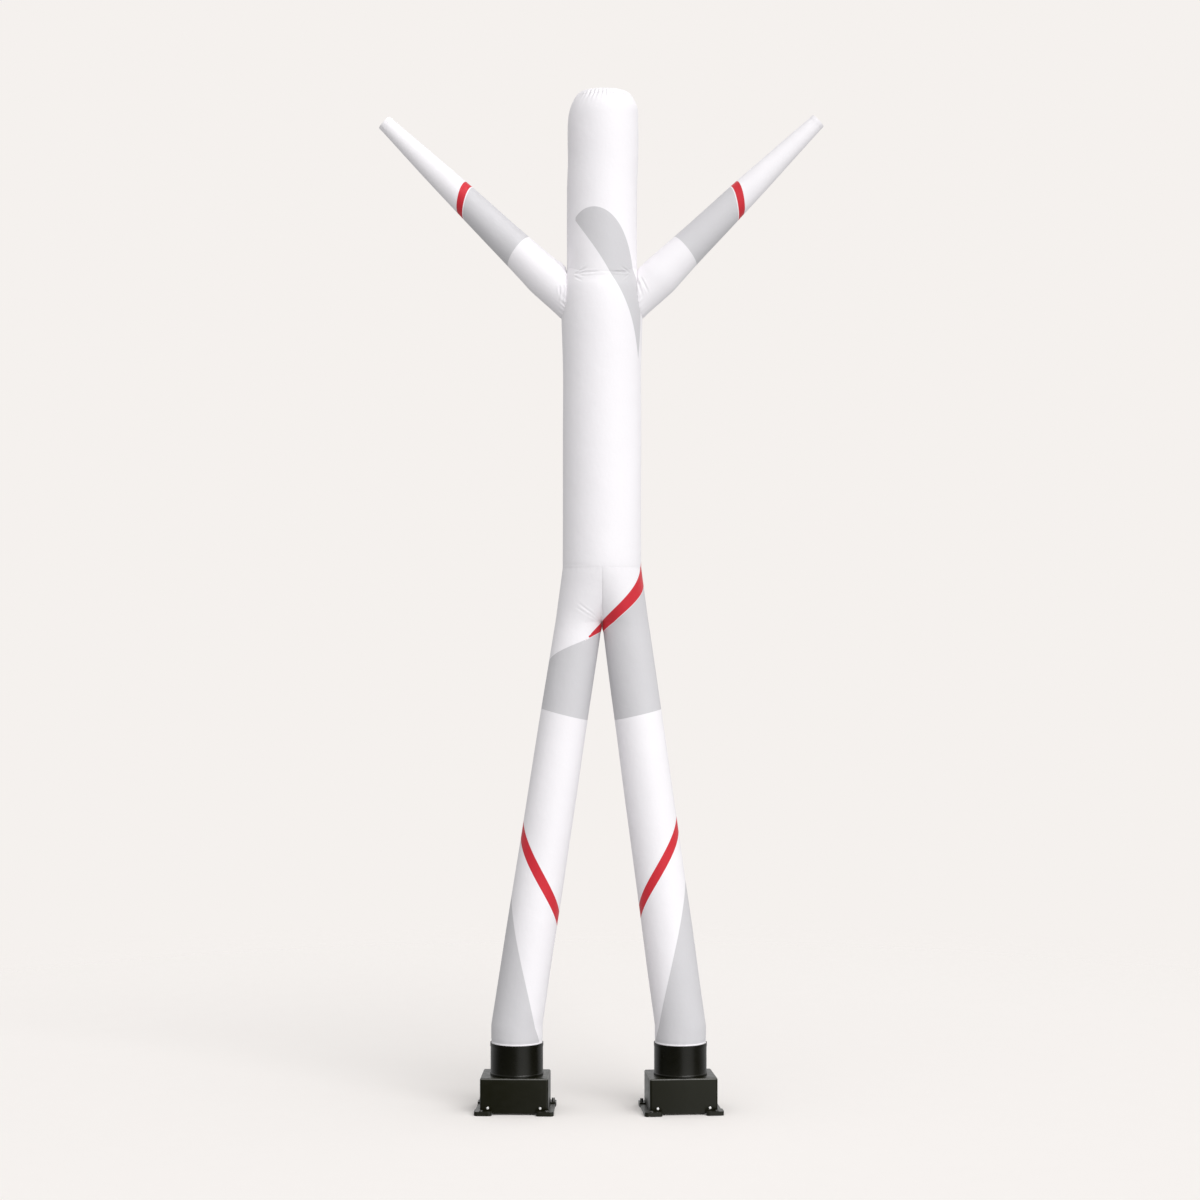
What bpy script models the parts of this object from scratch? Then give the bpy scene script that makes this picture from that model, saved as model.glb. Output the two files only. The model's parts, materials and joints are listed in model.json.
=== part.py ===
"""Inflatable air dancer: a sewn cloth figure standing on two blower bases.

Metres, +Z up, +X to the right hand side seen from the front, and the front
faces -Y. The origin is on the floor, midway between the two arm tips.
"""

import math

import bmesh
import bpy
from mathutils import Vector

COLLECTION_NAME = "air_dancer"
CUTTER_COLLECTION_NAME = "cutters"

# ---------------------------------------------------------------- cloth
CLOTH = 0.002  # wall of every cloth piece
SEAM_GAP = 0.0005  # space left along a seam between two pieces
EDGE_CLEARANCE = 0.002  # space between cloth and a hard edge or a gathered one

# heights of the seams above the floor
HEM_Z = 0.384
ANKLE_Z = 0.50  # below this the leg stands upright over its outlet
CROTCH_Z = 2.868
HIP_Z = 3.188
ARMPIT_Z = 4.640
NECK_Z = 4.937
SHOULDER_Z = 5.805  # top of the straight part of the head
CROWN_SEAM_Z = 5.949
TOP_Z = 6.0

TORSO_RADIUS = 0.2305
CHEST_RADIUS = 0.2375
HEAD_RADIUS = 0.2057
CROWN_RADIUS = 0.1570
THIGH_RADIUS = 0.1365
ANKLE_RADIUS = 0.1505
LEG_SWELL = 0.7  # below 1 the leg widens soon after the crotch

BODY_SIDES = 60
LEG_SIDES = 40
ARM_SIDES = 32

# gathers under the crown
PLEATS = 20
PLEAT_DEPTH = 0.0035

# outer radius of the torso, top to bottom
TORSO_PROFILE = [
    # radius, height
    (HEAD_RADIUS + 0.0006, NECK_Z - SEAM_GAP),
    (0.2150, 4.905),
    (0.2270, 4.850),
    (0.2345, 4.775),
    (CHEST_RADIUS, 4.700),
    (CHEST_RADIUS, ARMPIT_Z),
    (0.2340, 4.520),
    (TORSO_RADIUS, 4.380),
    (0.2300, 3.980),
    (0.2300, 3.580),
    (TORSO_RADIUS, HIP_Z + EDGE_CLEARANCE),
]

# outer radius of the head, top to bottom, and how much of the gathers it shows
HEAD_RINGS = [
    # radius, height, share of the pleat depth
    (CROWN_RADIUS, CROWN_SEAM_Z, 1.0),
    (0.1715, 5.930, 0.75),
    (0.1880, 5.900, 0.35),
    (0.1990, 5.860, 0.0),
    (HEAD_RADIUS, SHOULDER_Z, 0.0),
    (HEAD_RADIUS + 0.0005, 5.520, 0.0),
    (HEAD_RADIUS, 5.230, 0.0),
    (HEAD_RADIUS, NECK_Z, 0.0),
]

# outer radius of the crown, centre to rim
CROWN_PROFILE = [
    # radius, height
    (0.0, TOP_Z),
    (0.055, 5.9980),
    (0.095, 5.9900),
    (0.128, 5.9740),
    (CROWN_RADIUS - 0.0015, CROWN_SEAM_Z + 0.0035),
]

# outer radius of an arm against the distance along it from the side of the torso
ARM_PROFILE = [
    # radius, distance
    (0.1080, -0.150),
    (0.1120, 0.000),
    (0.1165, 0.100),
    (0.1185, 0.160),
    (0.1120, 0.250),
    (0.1020, 0.366),
    (0.0935, 0.600),
    (0.0845, 0.835),
    (0.0660, 1.150),
    (0.0450, 1.470),
]
ARM_ROOT_X = 0.219
ARM_ROOT_Z = 4.784
ARM_RISE_DEGREES = {"left": 43.9, "right": 44.4}
ARMHOLE_CUTTER_END = 0.130
# the stretch of torso and head that the arms are cut to meet
ARM_SEAT_LOW_Z = 4.25
ARM_SEAT_HIGH_Z = 5.40

# how far the trouser top has changed from half the torso's circle to a whole thigh
TROUSER_STEPS = [0.0, 0.25, 0.48, 0.68, 0.83, 0.93, 0.98, 1.0]
# share of the way down from the crotch to the ankle
LEG_STEPS = [0.14, 0.30, 0.46, 0.62, 0.78, 0.92, 1.0]

# ---------------------------------------------------------------- blower bases
BASES = {
    # side: place of the outlet along X, how far the box reaches further out,
    # turn about Z in degrees
    "left": (-0.5007, 0.007, -1.8),
    "right": (0.4605, 0.002, 5.2),
}

FITTING_GAP = 0.0003  # space between two hard pieces that touch
SHARP_DEGREES = 40.0  # edges steeper than this are shaded sharp

HOUSING_WIDTH = 0.398
HOUSING_DEPTH = 0.313
HOUSING_BOTTOM_Z = 0.0083
HOUSING_TOP_Z = 0.2125
HOUSING_EDGE = 0.008

OUTLET_SIDES = 40
OUTLET_BASE_Z = HOUSING_TOP_Z + FITTING_GAP
# closed section of the outlet collar, down its outer side and up its inner one
OUTLET_SECTION = [
    # radius, height
    (0.1550, 0.3960),
    (0.1550, 0.3800),
    (0.1530, 0.3740),
    (0.1530, 0.2270),
    (0.1550, 0.2240),
    (0.1550, OUTLET_BASE_Z),
    (0.1495, OUTLET_BASE_Z),
    (0.1495, 0.3750),
    (0.1530, 0.3810),
    (0.1530, 0.3960),
]

FOOT_INNER_X = 0.128
FOOT_OUTER_X = 0.232
FOOT_HALF_LENGTH = 0.190
FOOT_HEIGHT = 0.025
FOOT_CORNER = 0.018
FOOT_WAIST_X = 0.2285  # outer edge of the flange between the two ears
FOOT_WAIST_HALF_LENGTH = 0.105
FOOT_WAIST_HEIGHT = 0.018
# cutters that open upwards or outwards end well past every foot rail
CUTTER_INNER_X = 0.176
CUTTER_OUTER_X = 0.280
CUTTER_TOP_Z = 0.060

SCREW_SIDES = 12
SCREW_X = 0.153
SCREW_Z = 0.0405
SCREW_RADIUS = 0.0078
SCREW_HEIGHT = 0.0042
# domed head of a screw, middle of the dome to the middle of its flat back
SCREW_SECTION = [
    # share of the radius, share of the height
    (0.0, 1.0),
    (0.6, 0.9),
    (1.0, 0.35),
    (1.0, 0.0),
    (0.0, 0.0),
]

HEXAGON = 6
WASHER_SIDES = 16
BOLT_HEAD_RADIUS = 0.0102
WASHER_RADIUS = 0.0125
WASHER_HEIGHT = 0.0028
# the heads on the front ears are low, those on the back ears tall
BOLT_PLACES = [
    # name, sign (1 is on the base's outer side), distance along X, place along Y,
    # height of the head
    ("bolt_front_outer", 1, 0.190, -0.1735, 0.0045),
    ("bolt_front_inner", -1, 0.190, -0.1735, 0.0045),
    ("bolt_back_outer", 1, 0.2145, 0.150, 0.0155),
    ("bolt_back_inner", -1, 0.2145, 0.150, 0.0155),
]

# ---------------------------------------------------------------- finishes
FINISHES = {
    # name: colour, roughness, metallic
    "white_cloth": ((0.90, 0.90, 0.91), 0.60, 0.0),
    "black_paint": ((0.018, 0.018, 0.016), 0.42, 0.0),
    "black_collar": ((0.012, 0.012, 0.011), 0.36, 0.0),
    "bright_steel": ((0.75, 0.75, 0.74), 0.28, 1.0),
    "dark_steel": ((0.20, 0.20, 0.20), 0.35, 1.0),
}


def clear_scene():
    """Removes every object that the scene holds."""
    for obj in list(bpy.data.objects):
        bpy.data.objects.remove(obj, do_unlink=True)


def new_collection(name):
    collection = bpy.data.collections.new(name)
    bpy.context.scene.collection.children.link(collection)
    return collection


def finish(name):
    """One Principled material for one object, with the finish's values."""
    colour, roughness, metallic = FINISHES[name]
    material = bpy.data.materials.new(name)
    material.use_nodes = True
    shader = material.node_tree.nodes["Principled BSDF"]
    shader.inputs["Base Color"].default_value = (*colour, 1.0)
    shader.inputs["Roughness"].default_value = roughness
    shader.inputs["Metallic"].default_value = metallic
    material.diffuse_color = (*colour, 1.0)
    return material


def add_object(name, mesh, collection, finish_name):
    """Puts a mesh in the scene as one named object with its own material."""
    obj = bpy.data.objects.new(name, mesh)
    collection.objects.link(obj)
    mesh.materials.append(finish(finish_name))
    mesh.shade_smooth()
    mesh.set_sharp_from_angle(angle=math.radians(SHARP_DEGREES))
    return obj


def as_cutter(obj):
    obj.hide_render = True
    obj.display_type = "WIRE"
    return obj


def profile_mesh(name, profile, closed):
    """Edges through (radius, height) points in the XZ plane, ready for a Screw."""
    points = [(radius, 0.0, height) for radius, height in profile]
    edges = [(i, i + 1) for i in range(len(points) - 1)]
    if closed:
        edges.append((len(points) - 1, 0))
    mesh = bpy.data.meshes.new(name)
    mesh.from_pydata(points, edges, [])
    return mesh


def add_screw(obj, sides):
    screw = obj.modifiers.new("turn", "SCREW")
    screw.axis = "Z"
    screw.steps = sides
    screw.render_steps = sides
    screw.use_merge_vertices = True
    screw.merge_threshold = 0.00001
    screw.use_smooth_shade = True


def add_wall(obj):
    """Thickens an outer cloth surface inwards."""
    wall = obj.modifiers.new("wall", "SOLIDIFY")
    wall.thickness = CLOTH
    wall.offset = -1.0
    wall.use_even_offset = True


def add_cut(obj, cutter):
    cut = obj.modifiers.new("cut_" + cutter.name, "BOOLEAN")
    cut.operation = "DIFFERENCE"
    cut.solver = "EXACT"
    cut.object = cutter


def add_bevel(obj, width, segments):
    bevel = obj.modifiers.new("rounded_edges", "BEVEL")
    bevel.width = width
    bevel.segments = segments
    bevel.limit_method = "ANGLE"
    bevel.angle_limit = math.radians(SHARP_DEGREES)


def turned(name, profile, sides, collection, finish_name, closed=False):
    """A shape turned about its own Z axis."""
    obj = add_object(name, profile_mesh(name, profile, closed), collection, finish_name)
    add_screw(obj, sides)
    return obj


def loft_mesh(name, rings):
    """Faces between sections that run top to bottom, each anticlockwise from above.

    A ring's last point closes on its first where the two coincide, so a section
    may be a closed circle or an open arc.
    """
    shape = bmesh.new()
    rows = [[shape.verts.new(point) for point in ring] for ring in rings]
    for upper, lower in zip(rows, rows[1:]):
        for i in range(len(upper) - 1):
            shape.faces.new((upper[i], lower[i], lower[i + 1], upper[i + 1]))
    bmesh.ops.remove_doubles(shape, verts=shape.verts, dist=0.00001)
    mesh = bpy.data.meshes.new(name)
    shape.to_mesh(mesh)
    shape.free()
    return mesh


def box_mesh(name, low, high):
    """A cube primitive at its size and place."""
    shape = bmesh.new()
    bmesh.ops.create_cube(shape, size=1.0)
    centre = (Vector(low) + Vector(high)) / 2.0
    bmesh.ops.scale(shape, vec=Vector(high) - Vector(low), verts=shape.verts)
    bmesh.ops.translate(shape, vec=centre, verts=shape.verts)
    mesh = bpy.data.meshes.new(name)
    shape.to_mesh(mesh)
    shape.free()
    return mesh


# ---------------------------------------------------------------- cloth pieces
def make_crown(parts):
    crown = turned("crown", CROWN_PROFILE, BODY_SIDES, parts, "white_cloth")
    add_wall(crown)


def make_head_tube(parts):
    """The head, drawn in under the crown in gathers that fade downwards."""
    rings = []
    for radius, height, share in HEAD_RINGS:
        ring = []
        for step in range(BODY_SIDES + 1):
            angle = math.tau * step / BODY_SIDES
            pleated = radius + share * PLEAT_DEPTH * math.cos(PLEATS * angle)
            ring.append((pleated * math.cos(angle), pleated * math.sin(angle), height))
        rings.append(ring)
    head = add_object("head_tube", loft_mesh("head_tube", rings), parts, "white_cloth")
    add_wall(head)


def make_torso(parts, armhole_cutters):
    torso = turned("torso", TORSO_PROFILE, BODY_SIDES, parts, "white_cloth")
    add_wall(torso)
    for cutter in armhole_cutters:
        add_cut(torso, cutter)


def make_body_cutter(cutters):
    """The space that the torso and the head fill, a seam's gap larger."""
    profile = [(0.0, ARM_SEAT_HIGH_Z), (HEAD_RADIUS + SEAM_GAP, ARM_SEAT_HIGH_Z)]
    for radius, height in TORSO_PROFILE:
        if height > ARM_SEAT_LOW_Z:
            profile.append((radius + SEAM_GAP, height))
    profile.append((0.0, ARM_SEAT_LOW_Z))
    return as_cutter(turned("body_space", profile, BODY_SIDES, cutters, "white_cloth"))


def place_arm(obj, side):
    """Turns a shape that runs up its own Z axis to rise outwards from the torso."""
    outwards = -1.0 if side == "left" else 1.0
    rise = math.radians(ARM_RISE_DEGREES[side])
    obj.location = (outwards * ARM_ROOT_X, 0.0, ARM_ROOT_Z)
    obj.rotation_euler = (0.0, outwards * (math.pi / 2.0 - rise), 0.0)


def make_armhole_cutter(side, cutters):
    """The arm's inner space where it goes through the side of the torso."""
    inside = [(radius - CLOTH, along) for radius, along in ARM_PROFILE if along < ARMHOLE_CUTTER_END]
    profile = [(0.0, inside[-1][1])] + inside[::-1] + [(0.0, inside[0][1])]
    cutter = as_cutter(turned("armhole_" + side, profile, ARM_SIDES, cutters, "white_cloth"))
    place_arm(cutter, side)
    return cutter


def make_arm(side, parts, body_cutter):
    arm = turned("arm_" + side, ARM_PROFILE[::-1], ARM_SIDES, parts, "white_cloth")
    place_arm(arm, side)
    add_wall(arm)
    add_cut(arm, body_cutter)


def leg_sections(outlet_x):
    """(distance of the axis from the middle, radius, height), hip to hem."""
    thigh_x = THIGH_RADIUS + SEAM_GAP
    sections = []
    for step in TROUSER_STEPS:
        radius = TORSO_RADIUS + step * (THIGH_RADIUS - TORSO_RADIUS)
        sections.append((step * thigh_x, radius, HIP_Z + step * (CROTCH_Z - HIP_Z)))
    ankle_x = abs(outlet_x)
    for step in LEG_STEPS:
        radius = THIGH_RADIUS + step**LEG_SWELL * (ANKLE_RADIUS - THIGH_RADIUS)
        across = thigh_x + step * (ankle_x - thigh_x)
        sections.append((across, radius, CROTCH_Z + step * (ANKLE_Z - CROTCH_Z)))
    sections.append((ankle_x, ANKLE_RADIUS, HEM_Z))
    return sections


def make_leg(side, parts):
    """One trouser leg: half of the hip's circle, closing to a round thigh at the crotch."""
    outwards = -1.0 if side == "left" else 1.0
    rings = []
    for axis_x, radius, height in leg_sections(BASES[side][0]):
        reach = min(1.0, (axis_x - SEAM_GAP) / radius)
        opening = math.acos(reach)  # half the angle left open towards the other leg
        ring = []
        for step in range(LEG_SIDES + 1):
            angle = opening + (math.tau - 2.0 * opening) * step / LEG_SIDES
            inwards = radius * math.cos(angle) - axis_x
            ring.append((-outwards * inwards, radius * math.sin(angle), height))
        rings.append(ring if outwards < 0.0 else ring[::-1])
    leg = add_object("leg_" + side, loft_mesh("leg_" + side, rings), parts, "white_cloth")
    add_wall(leg)


# ---------------------------------------------------------------- blower base
def make_housing(side, frame, parts):
    low = (-HOUSING_WIDTH / 2.0, -HOUSING_DEPTH / 2.0, HOUSING_BOTTOM_Z)
    high = (HOUSING_WIDTH / 2.0, HOUSING_DEPTH / 2.0, HOUSING_TOP_Z)
    name = f"base_{side}_housing"
    housing = add_object(name, box_mesh(name, low, high), parts, "black_paint")
    add_bevel(housing, HOUSING_EDGE, 3)
    housing.parent = frame


def make_outlet(side, across, frame, parts):
    """The collar that the hem goes into, set off from the middle of the box."""
    name = f"base_{side}_outlet"
    outlet = turned(name, OUTLET_SECTION, OUTLET_SIDES, parts, "black_collar", closed=True)
    outlet.location = (across, 0.0, 0.0)
    outlet.parent = frame


def make_box_cutter(name, low, high, frame, cutters):
    cutter = as_cutter(bpy.data.objects.new(name, box_mesh(name, low, high)))
    cutters.objects.link(cutter)
    cutter.parent = frame
    return cutter


def make_seat_cutter(side, frame, cutters):
    """The place that the housing takes in its two foot rails."""
    reach_x = HOUSING_WIDTH / 2.0 + FITTING_GAP
    reach_y = HOUSING_DEPTH / 2.0 + FITTING_GAP
    low = (-reach_x, -reach_y, HOUSING_BOTTOM_Z - FITTING_GAP)
    return make_box_cutter(f"{side}_seat", low, (reach_x, reach_y, CUTTER_TOP_Z), frame, cutters)


def make_foot(name, sign, frame, parts, cutters, seat):
    """A rail under one side of the housing, with a rounded ear at each end."""
    edges = sorted((sign * FOOT_INNER_X, sign * FOOT_OUTER_X))
    low = (edges[0], -FOOT_HALF_LENGTH, 0.0)
    mesh = box_mesh(name, low, (edges[1], FOOT_HALF_LENGTH, FOOT_HEIGHT))
    round_upright_edges(mesh)
    foot = add_object(name, mesh, parts, "black_paint")
    foot.parent = frame
    add_cut(foot, seat)
    waist = (
        # name, distance from the middle of the base, underside
        ("waist_top", CUTTER_INNER_X, FOOT_WAIST_HEIGHT),
        ("waist_side", FOOT_WAIST_X, -FOOT_HEIGHT),
    )
    for part, inner, underside in waist:
        edges = sorted((sign * inner, sign * CUTTER_OUTER_X))
        low = (edges[0], -FOOT_WAIST_HALF_LENGTH, underside)
        high = (edges[1], FOOT_WAIST_HALF_LENGTH, CUTTER_TOP_Z)
        add_cut(foot, make_box_cutter(f"{name}_{part}", low, high, frame, cutters))


def round_upright_edges(mesh):
    """Rounds the four upright corners of an ear plate."""
    shape = bmesh.new()
    shape.from_mesh(mesh)
    upright = [e for e in shape.edges if abs(e.verts[0].co.z - e.verts[1].co.z) > FOOT_HEIGHT / 2.0]
    bmesh.ops.bevel(
        shape, geom=upright, offset=FOOT_CORNER, segments=4, profile=0.5, affect="EDGES"
    )
    shape.to_mesh(mesh)
    shape.free()


def make_front_screws(side, frame, parts):
    """Two bright domed screws low on the housing's front face."""
    section = [(across * SCREW_RADIUS, up * SCREW_HEIGHT) for across, up in SCREW_SECTION]
    face_y = -HOUSING_DEPTH / 2.0 - FITTING_GAP
    for which, sign in (("a", -1.0), ("b", 1.0)):
        name = f"base_{side}_screw_{which}"
        screw = turned(name, section, SCREW_SIDES, parts, "bright_steel")
        screw.location = (sign * SCREW_X, face_y, SCREW_Z)
        screw.rotation_euler = (math.pi / 2.0, 0.0, 0.0)
        screw.parent = frame


def cylinder_mesh(name, sides, radius, low, high):
    shape = bmesh.new()
    bmesh.ops.create_cone(
        shape, cap_ends=True, segments=sides, radius1=radius, radius2=radius, depth=high - low
    )
    bmesh.ops.translate(shape, vec=(0.0, 0.0, (low + high) / 2.0), verts=shape.verts)
    mesh = bpy.data.meshes.new(name)
    shape.to_mesh(mesh)
    shape.free()
    return mesh


def make_bolts(side, outwards, frame, parts, cutters):
    """On each of the four ears, a hexagonal head joined to its round washer."""
    head_low = WASHER_HEIGHT / 2.0
    for name, sign, across, along, head_height in BOLT_PLACES:
        head_high = WASHER_HEIGHT + head_height
        washer = cylinder_mesh("washer", WASHER_SIDES, WASHER_RADIUS, 0.0, WASHER_HEIGHT)
        hexagon = cylinder_mesh("bolt_head", HEXAGON, BOLT_HEAD_RADIUS, head_low, head_high)
        bolt = add_object(f"base_{side}_{name}", washer, parts, "dark_steel")
        head = as_cutter(add_object(f"{side}_{name}_head", hexagon, cutters, "dark_steel"))
        for obj in (bolt, head):
            obj.location = (outwards * sign * across, along, FOOT_HEIGHT + FITTING_GAP)
            obj.parent = frame
        join = bolt.modifiers.new("head", "BOOLEAN")
        join.operation = "UNION"
        join.solver = "EXACT"
        join.object = head


def make_base(side, parts, cutters):
    """One blower, turned a little outwards. Its inner side faces the other base."""
    outlet_x, overhang, turn_degrees = BASES[side]
    outwards = -1.0 if side == "left" else 1.0
    frame = bpy.data.objects.new(f"base_{side}", None)
    parts.objects.link(frame)
    frame.location = (outlet_x + outwards * overhang, 0.0, 0.0)
    frame.rotation_euler = (0.0, 0.0, math.radians(turn_degrees))
    make_housing(side, frame, parts)
    make_outlet(side, -outwards * overhang, frame, parts)
    seat = make_seat_cutter(side, frame, cutters)
    make_foot(f"base_{side}_foot_outer", outwards, frame, parts, cutters, seat)
    make_foot(f"base_{side}_foot_inner", -outwards, frame, parts, cutters, seat)
    make_front_screws(side, frame, parts)
    make_bolts(side, outwards, frame, parts, cutters)


def main():
    clear_scene()
    parts = new_collection(COLLECTION_NAME)
    cutters = new_collection(CUTTER_COLLECTION_NAME)
    body_cutter = make_body_cutter(cutters)
    make_crown(parts)
    make_head_tube(parts)
    make_torso(parts, [make_armhole_cutter(side, cutters) for side in BASES])
    for side in BASES:
        make_arm(side, parts, body_cutter)
        make_leg(side, parts)
        make_base(side, parts, cutters)


main()
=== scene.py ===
"""Looks of the inflatable air dancer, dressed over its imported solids.

A sewn figure of white nylon cloth, printed in light grey and red, is held up by air
from two black blowers. Every length is in metres, +Z is up and the front faces -Y.
Angles round a tube are counted from its front, positive towards +X.
"""

import json
import logging
import math
from dataclasses import dataclass, field
from enum import Enum

import bmesh
import bpy
import numpy as np
from mathutils import Matrix, Vector

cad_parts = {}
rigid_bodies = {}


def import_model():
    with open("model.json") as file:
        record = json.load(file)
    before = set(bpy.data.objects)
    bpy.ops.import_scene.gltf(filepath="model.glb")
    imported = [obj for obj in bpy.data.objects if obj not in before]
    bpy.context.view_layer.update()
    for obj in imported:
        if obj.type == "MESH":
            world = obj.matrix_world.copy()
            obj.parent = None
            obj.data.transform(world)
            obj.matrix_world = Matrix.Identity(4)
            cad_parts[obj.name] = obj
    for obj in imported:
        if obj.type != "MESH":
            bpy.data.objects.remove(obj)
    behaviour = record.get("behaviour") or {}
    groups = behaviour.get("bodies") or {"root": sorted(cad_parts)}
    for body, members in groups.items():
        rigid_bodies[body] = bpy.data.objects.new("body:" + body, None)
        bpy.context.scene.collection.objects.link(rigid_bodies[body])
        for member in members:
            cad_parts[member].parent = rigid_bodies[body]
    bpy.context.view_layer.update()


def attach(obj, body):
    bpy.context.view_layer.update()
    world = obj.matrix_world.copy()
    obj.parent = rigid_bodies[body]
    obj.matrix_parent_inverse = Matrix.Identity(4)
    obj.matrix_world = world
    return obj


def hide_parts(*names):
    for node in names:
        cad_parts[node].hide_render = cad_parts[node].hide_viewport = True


LOG = logging.getLogger("air_dancer")

BODY = "root"
WALL = 0.0018  # thickness of every cloth wall
SEAM_GAP = 0.0006  # space left along a seam between two cloth pieces
BAKE_BANDS = ((0.004, 0.900), (0.912, 0.060))  # start and width of each wall's share of the map
BAKE_MARGIN = 0.004
RIM_BAND = (0.980, 0.992)  # where the narrow rims between the walls lie on the map

Array = np.ndarray
Material = bpy.types.Material
Piece = bpy.types.Object
Socket = bpy.types.NodeSocket


class Side(Enum):
    """The two sides of the figure, as seen from the front."""

    LEFT = -1
    RIGHT = 1

    @property
    def label(self) -> str:
        """The side's name as it stands in the names of nodes."""
        return self.name.lower()


class Slot(Enum):
    """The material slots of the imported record."""

    CLOTH = "cloth"
    PAINT = "base_paint"
    COLLAR = "collar_paint"
    SCREW = "screw_steel"
    BOLT = "bolt_steel"


# ---- curves
def eased(value: Array) -> Array:
    """Clips to 0..1 and eases both ends."""
    value = np.clip(value, 0.0, 1.0)
    return value * value * (3.0 - 2.0 * value)


def bell(distance: Array, width: float) -> Array:
    """A bump that is 1 at distance 0 and fades over the width."""
    return np.exp(-((distance / width) ** 2))


def smooth_profile(table: list[tuple[float, float]], place: Array) -> Array:
    """Reads a table of (value, place) with a curve that has no kinks.

    Args:
        table: values and the places where they hold, in rising or falling places.
        place: where to read it.

    Returns:
        The value at each place.
    """
    rows = sorted(table, key=lambda row: row[1])
    knots = np.array([row[1] for row in rows])
    values = np.array([row[0] for row in rows])
    slopes = np.gradient(values, knots)
    at = np.clip(np.searchsorted(knots, place) - 1, 0, len(knots) - 2)
    span = knots[at + 1] - knots[at]
    t = np.clip((place - knots[at]) / span, 0.0, 1.0)
    t2, t3 = t * t, t * t * t
    return (
        (2 * t3 - 3 * t2 + 1) * values[at]
        + (t3 - 2 * t2 + t) * span * slopes[at]
        + (3 * t2 - 2 * t3) * values[at + 1]
        + (t3 - t2) * span * slopes[at + 1]
    )


def spaced(low: float, high: float, far: float, near: float, seams: list[float], reach: float) -> Array:
    """Places from low to high that stand closer together round each seam.

    Args:
        low: first place.
        high: last place.
        far: step far from every seam.
        near: step on a seam.
        seams: places of the seams.
        reach: how far the close steps spread from a seam.

    Returns:
        The places, rising.
    """
    fine = np.linspace(low, high, 4000)
    step = np.full_like(fine, far)
    for seam in seams:
        step = np.minimum(step, far + (near - far) * bell(fine - seam, reach))
    passed = np.concatenate([[0.0], np.cumsum((high - low) / (len(fine) - 1) / step)[:-1]])
    count = int(math.ceil(passed[-1]))
    return np.interp(np.linspace(0.0, passed[-1], count + 1), passed, fine)


def ripple(angle: Array, count: int, seed: int) -> Array:
    """Uneven gathers round a tube, about -1 to 1, that repeat after one turn.

    Args:
        angle: angle round the tube, from its front.
        count: about how many stand round one turn.
        seed: of the random draws.

    Returns:
        A number for each angle.
    """
    phases = np.random.default_rng(seed).uniform(0.0, math.tau, 6)
    drift = 1.1 * np.sin(3 * angle + phases[0]) + 0.7 * np.sin(5 * angle + phases[1])
    drift += 0.45 * np.sin(11 * angle + phases[2])
    strength = 0.62 + 0.25 * np.sin(4 * angle + phases[3]) + 0.2 * np.sin(9 * angle + phases[4])
    return strength * np.cos(count * angle + drift + phases[5])


def drift_field(angle: Array, along: Array, seed: int, size: float) -> Array:
    """Slow unevenness of blown cloth, about -1 to 1, over lengths of about size.

    Args:
        angle: angle round the tube, from its front.
        along: distance along the tube.
        seed: of the random draws.
        size: how long one swelling is.

    Returns:
        A number for each point.
    """
    draw = np.random.default_rng(seed)
    total = np.zeros(np.broadcast(angle, along).shape)
    for turns in (1, 2, 3, 4, 5):
        phase, other, pitch = draw.uniform(0.0, math.tau, 2).tolist() + [draw.uniform(0.7, 1.6)]
        wave = np.sin(turns * angle + phase + 0.8 * np.sin(along / size + other))
        total = total + wave * np.sin(math.tau * along / (size * 2.2 * pitch) + other) / turns**0.5
    return total / 2.2


def folded_turn(angle: Array, sharpness: float = 0.97) -> Array:
    """Angle from the front as -1 to 1 on the two sides, the back mirroring the front."""
    return np.arcsin(sharpness * np.sin(angle)) / math.asin(sharpness)


def sweep(angle: Array, evenness: float) -> Array:
    """Rise of an edge printed askew round a leg, -1 on one side to 1 on the other."""
    return evenness * folded_turn(angle) + (1.0 - evenness) * np.sin(angle)


def between(along: Array, start: Array, end: Array) -> Array:
    """Distance inside a band that runs from start to end, negative outside it."""
    return np.minimum(along - start, end - along)


# ---- folds
FOLD_PAST = 0.12  # share of its length by which a fold runs past its two places
FOLD_FADE = (0.30, 0.45)  # shares of its length over which it comes and goes
BANK_PLACE = 2.1  # widths from its valley to each of its banks


@dataclass(frozen=True)
class Crease:
    """One soft fold in blown cloth, between two places on the surface.

    start and end are (metres round from the front, metres along). depth is how far
    the valley sinks, and ridge how much of that its two banks stand proud.
    """

    start: tuple[float, float]
    end: tuple[float, float]
    width: float = 0.012
    depth: float = 0.004
    ridge: float = 0.35

    def lift(self, across: Array, along: Array) -> Array:
        """How far the fold moves each point outwards.

        Args:
            across: place round the tube, in metres.
            along: place along it.

        Returns:
            A height in metres for each point.
        """
        run = np.array(self.end) - self.start
        length = float(np.hypot(*run))
        unit = run / length
        dx, dy = across - self.start[0], along - self.start[1]
        forward = (dx * unit[0] + dy * unit[1]) / length
        aside = dy * unit[0] - dx * unit[1]
        begin, end = forward + FOLD_PAST, 1.0 + FOLD_PAST - forward
        fade = eased(begin / FOLD_FADE[0]) * eased(end / FOLD_FADE[1])
        valley = -bell(aside, self.width)
        bank = bell(np.abs(aside) - BANK_PLACE * self.width, self.width) * self.ridge
        return self.depth * fade * (valley + bank)


def lift_by(creases: list[Crease], across: Array, along: Array) -> Array:
    """Adds up a list of folds.

    Args:
        creases: the folds.
        across: place round the tube, in metres.
        along: place along it.

    Returns:
        Their heights together.
    """
    total = np.zeros(np.broadcast(across, along).shape)
    for crease in creases:
        total = total + crease.lift(across, along)
    return total


@dataclass(frozen=True)
class Gathers:
    """Uneven gathers beside a sewn edge."""

    height: float
    count: int  # in one turn
    seed: int
    reach: float

    def lift(self, angle: Array, away: Array) -> Array:
        """How far they move each point, by its distance from the edge."""
        return self.height * ripple(angle, self.count, self.seed) * bell(away, self.reach)


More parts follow.
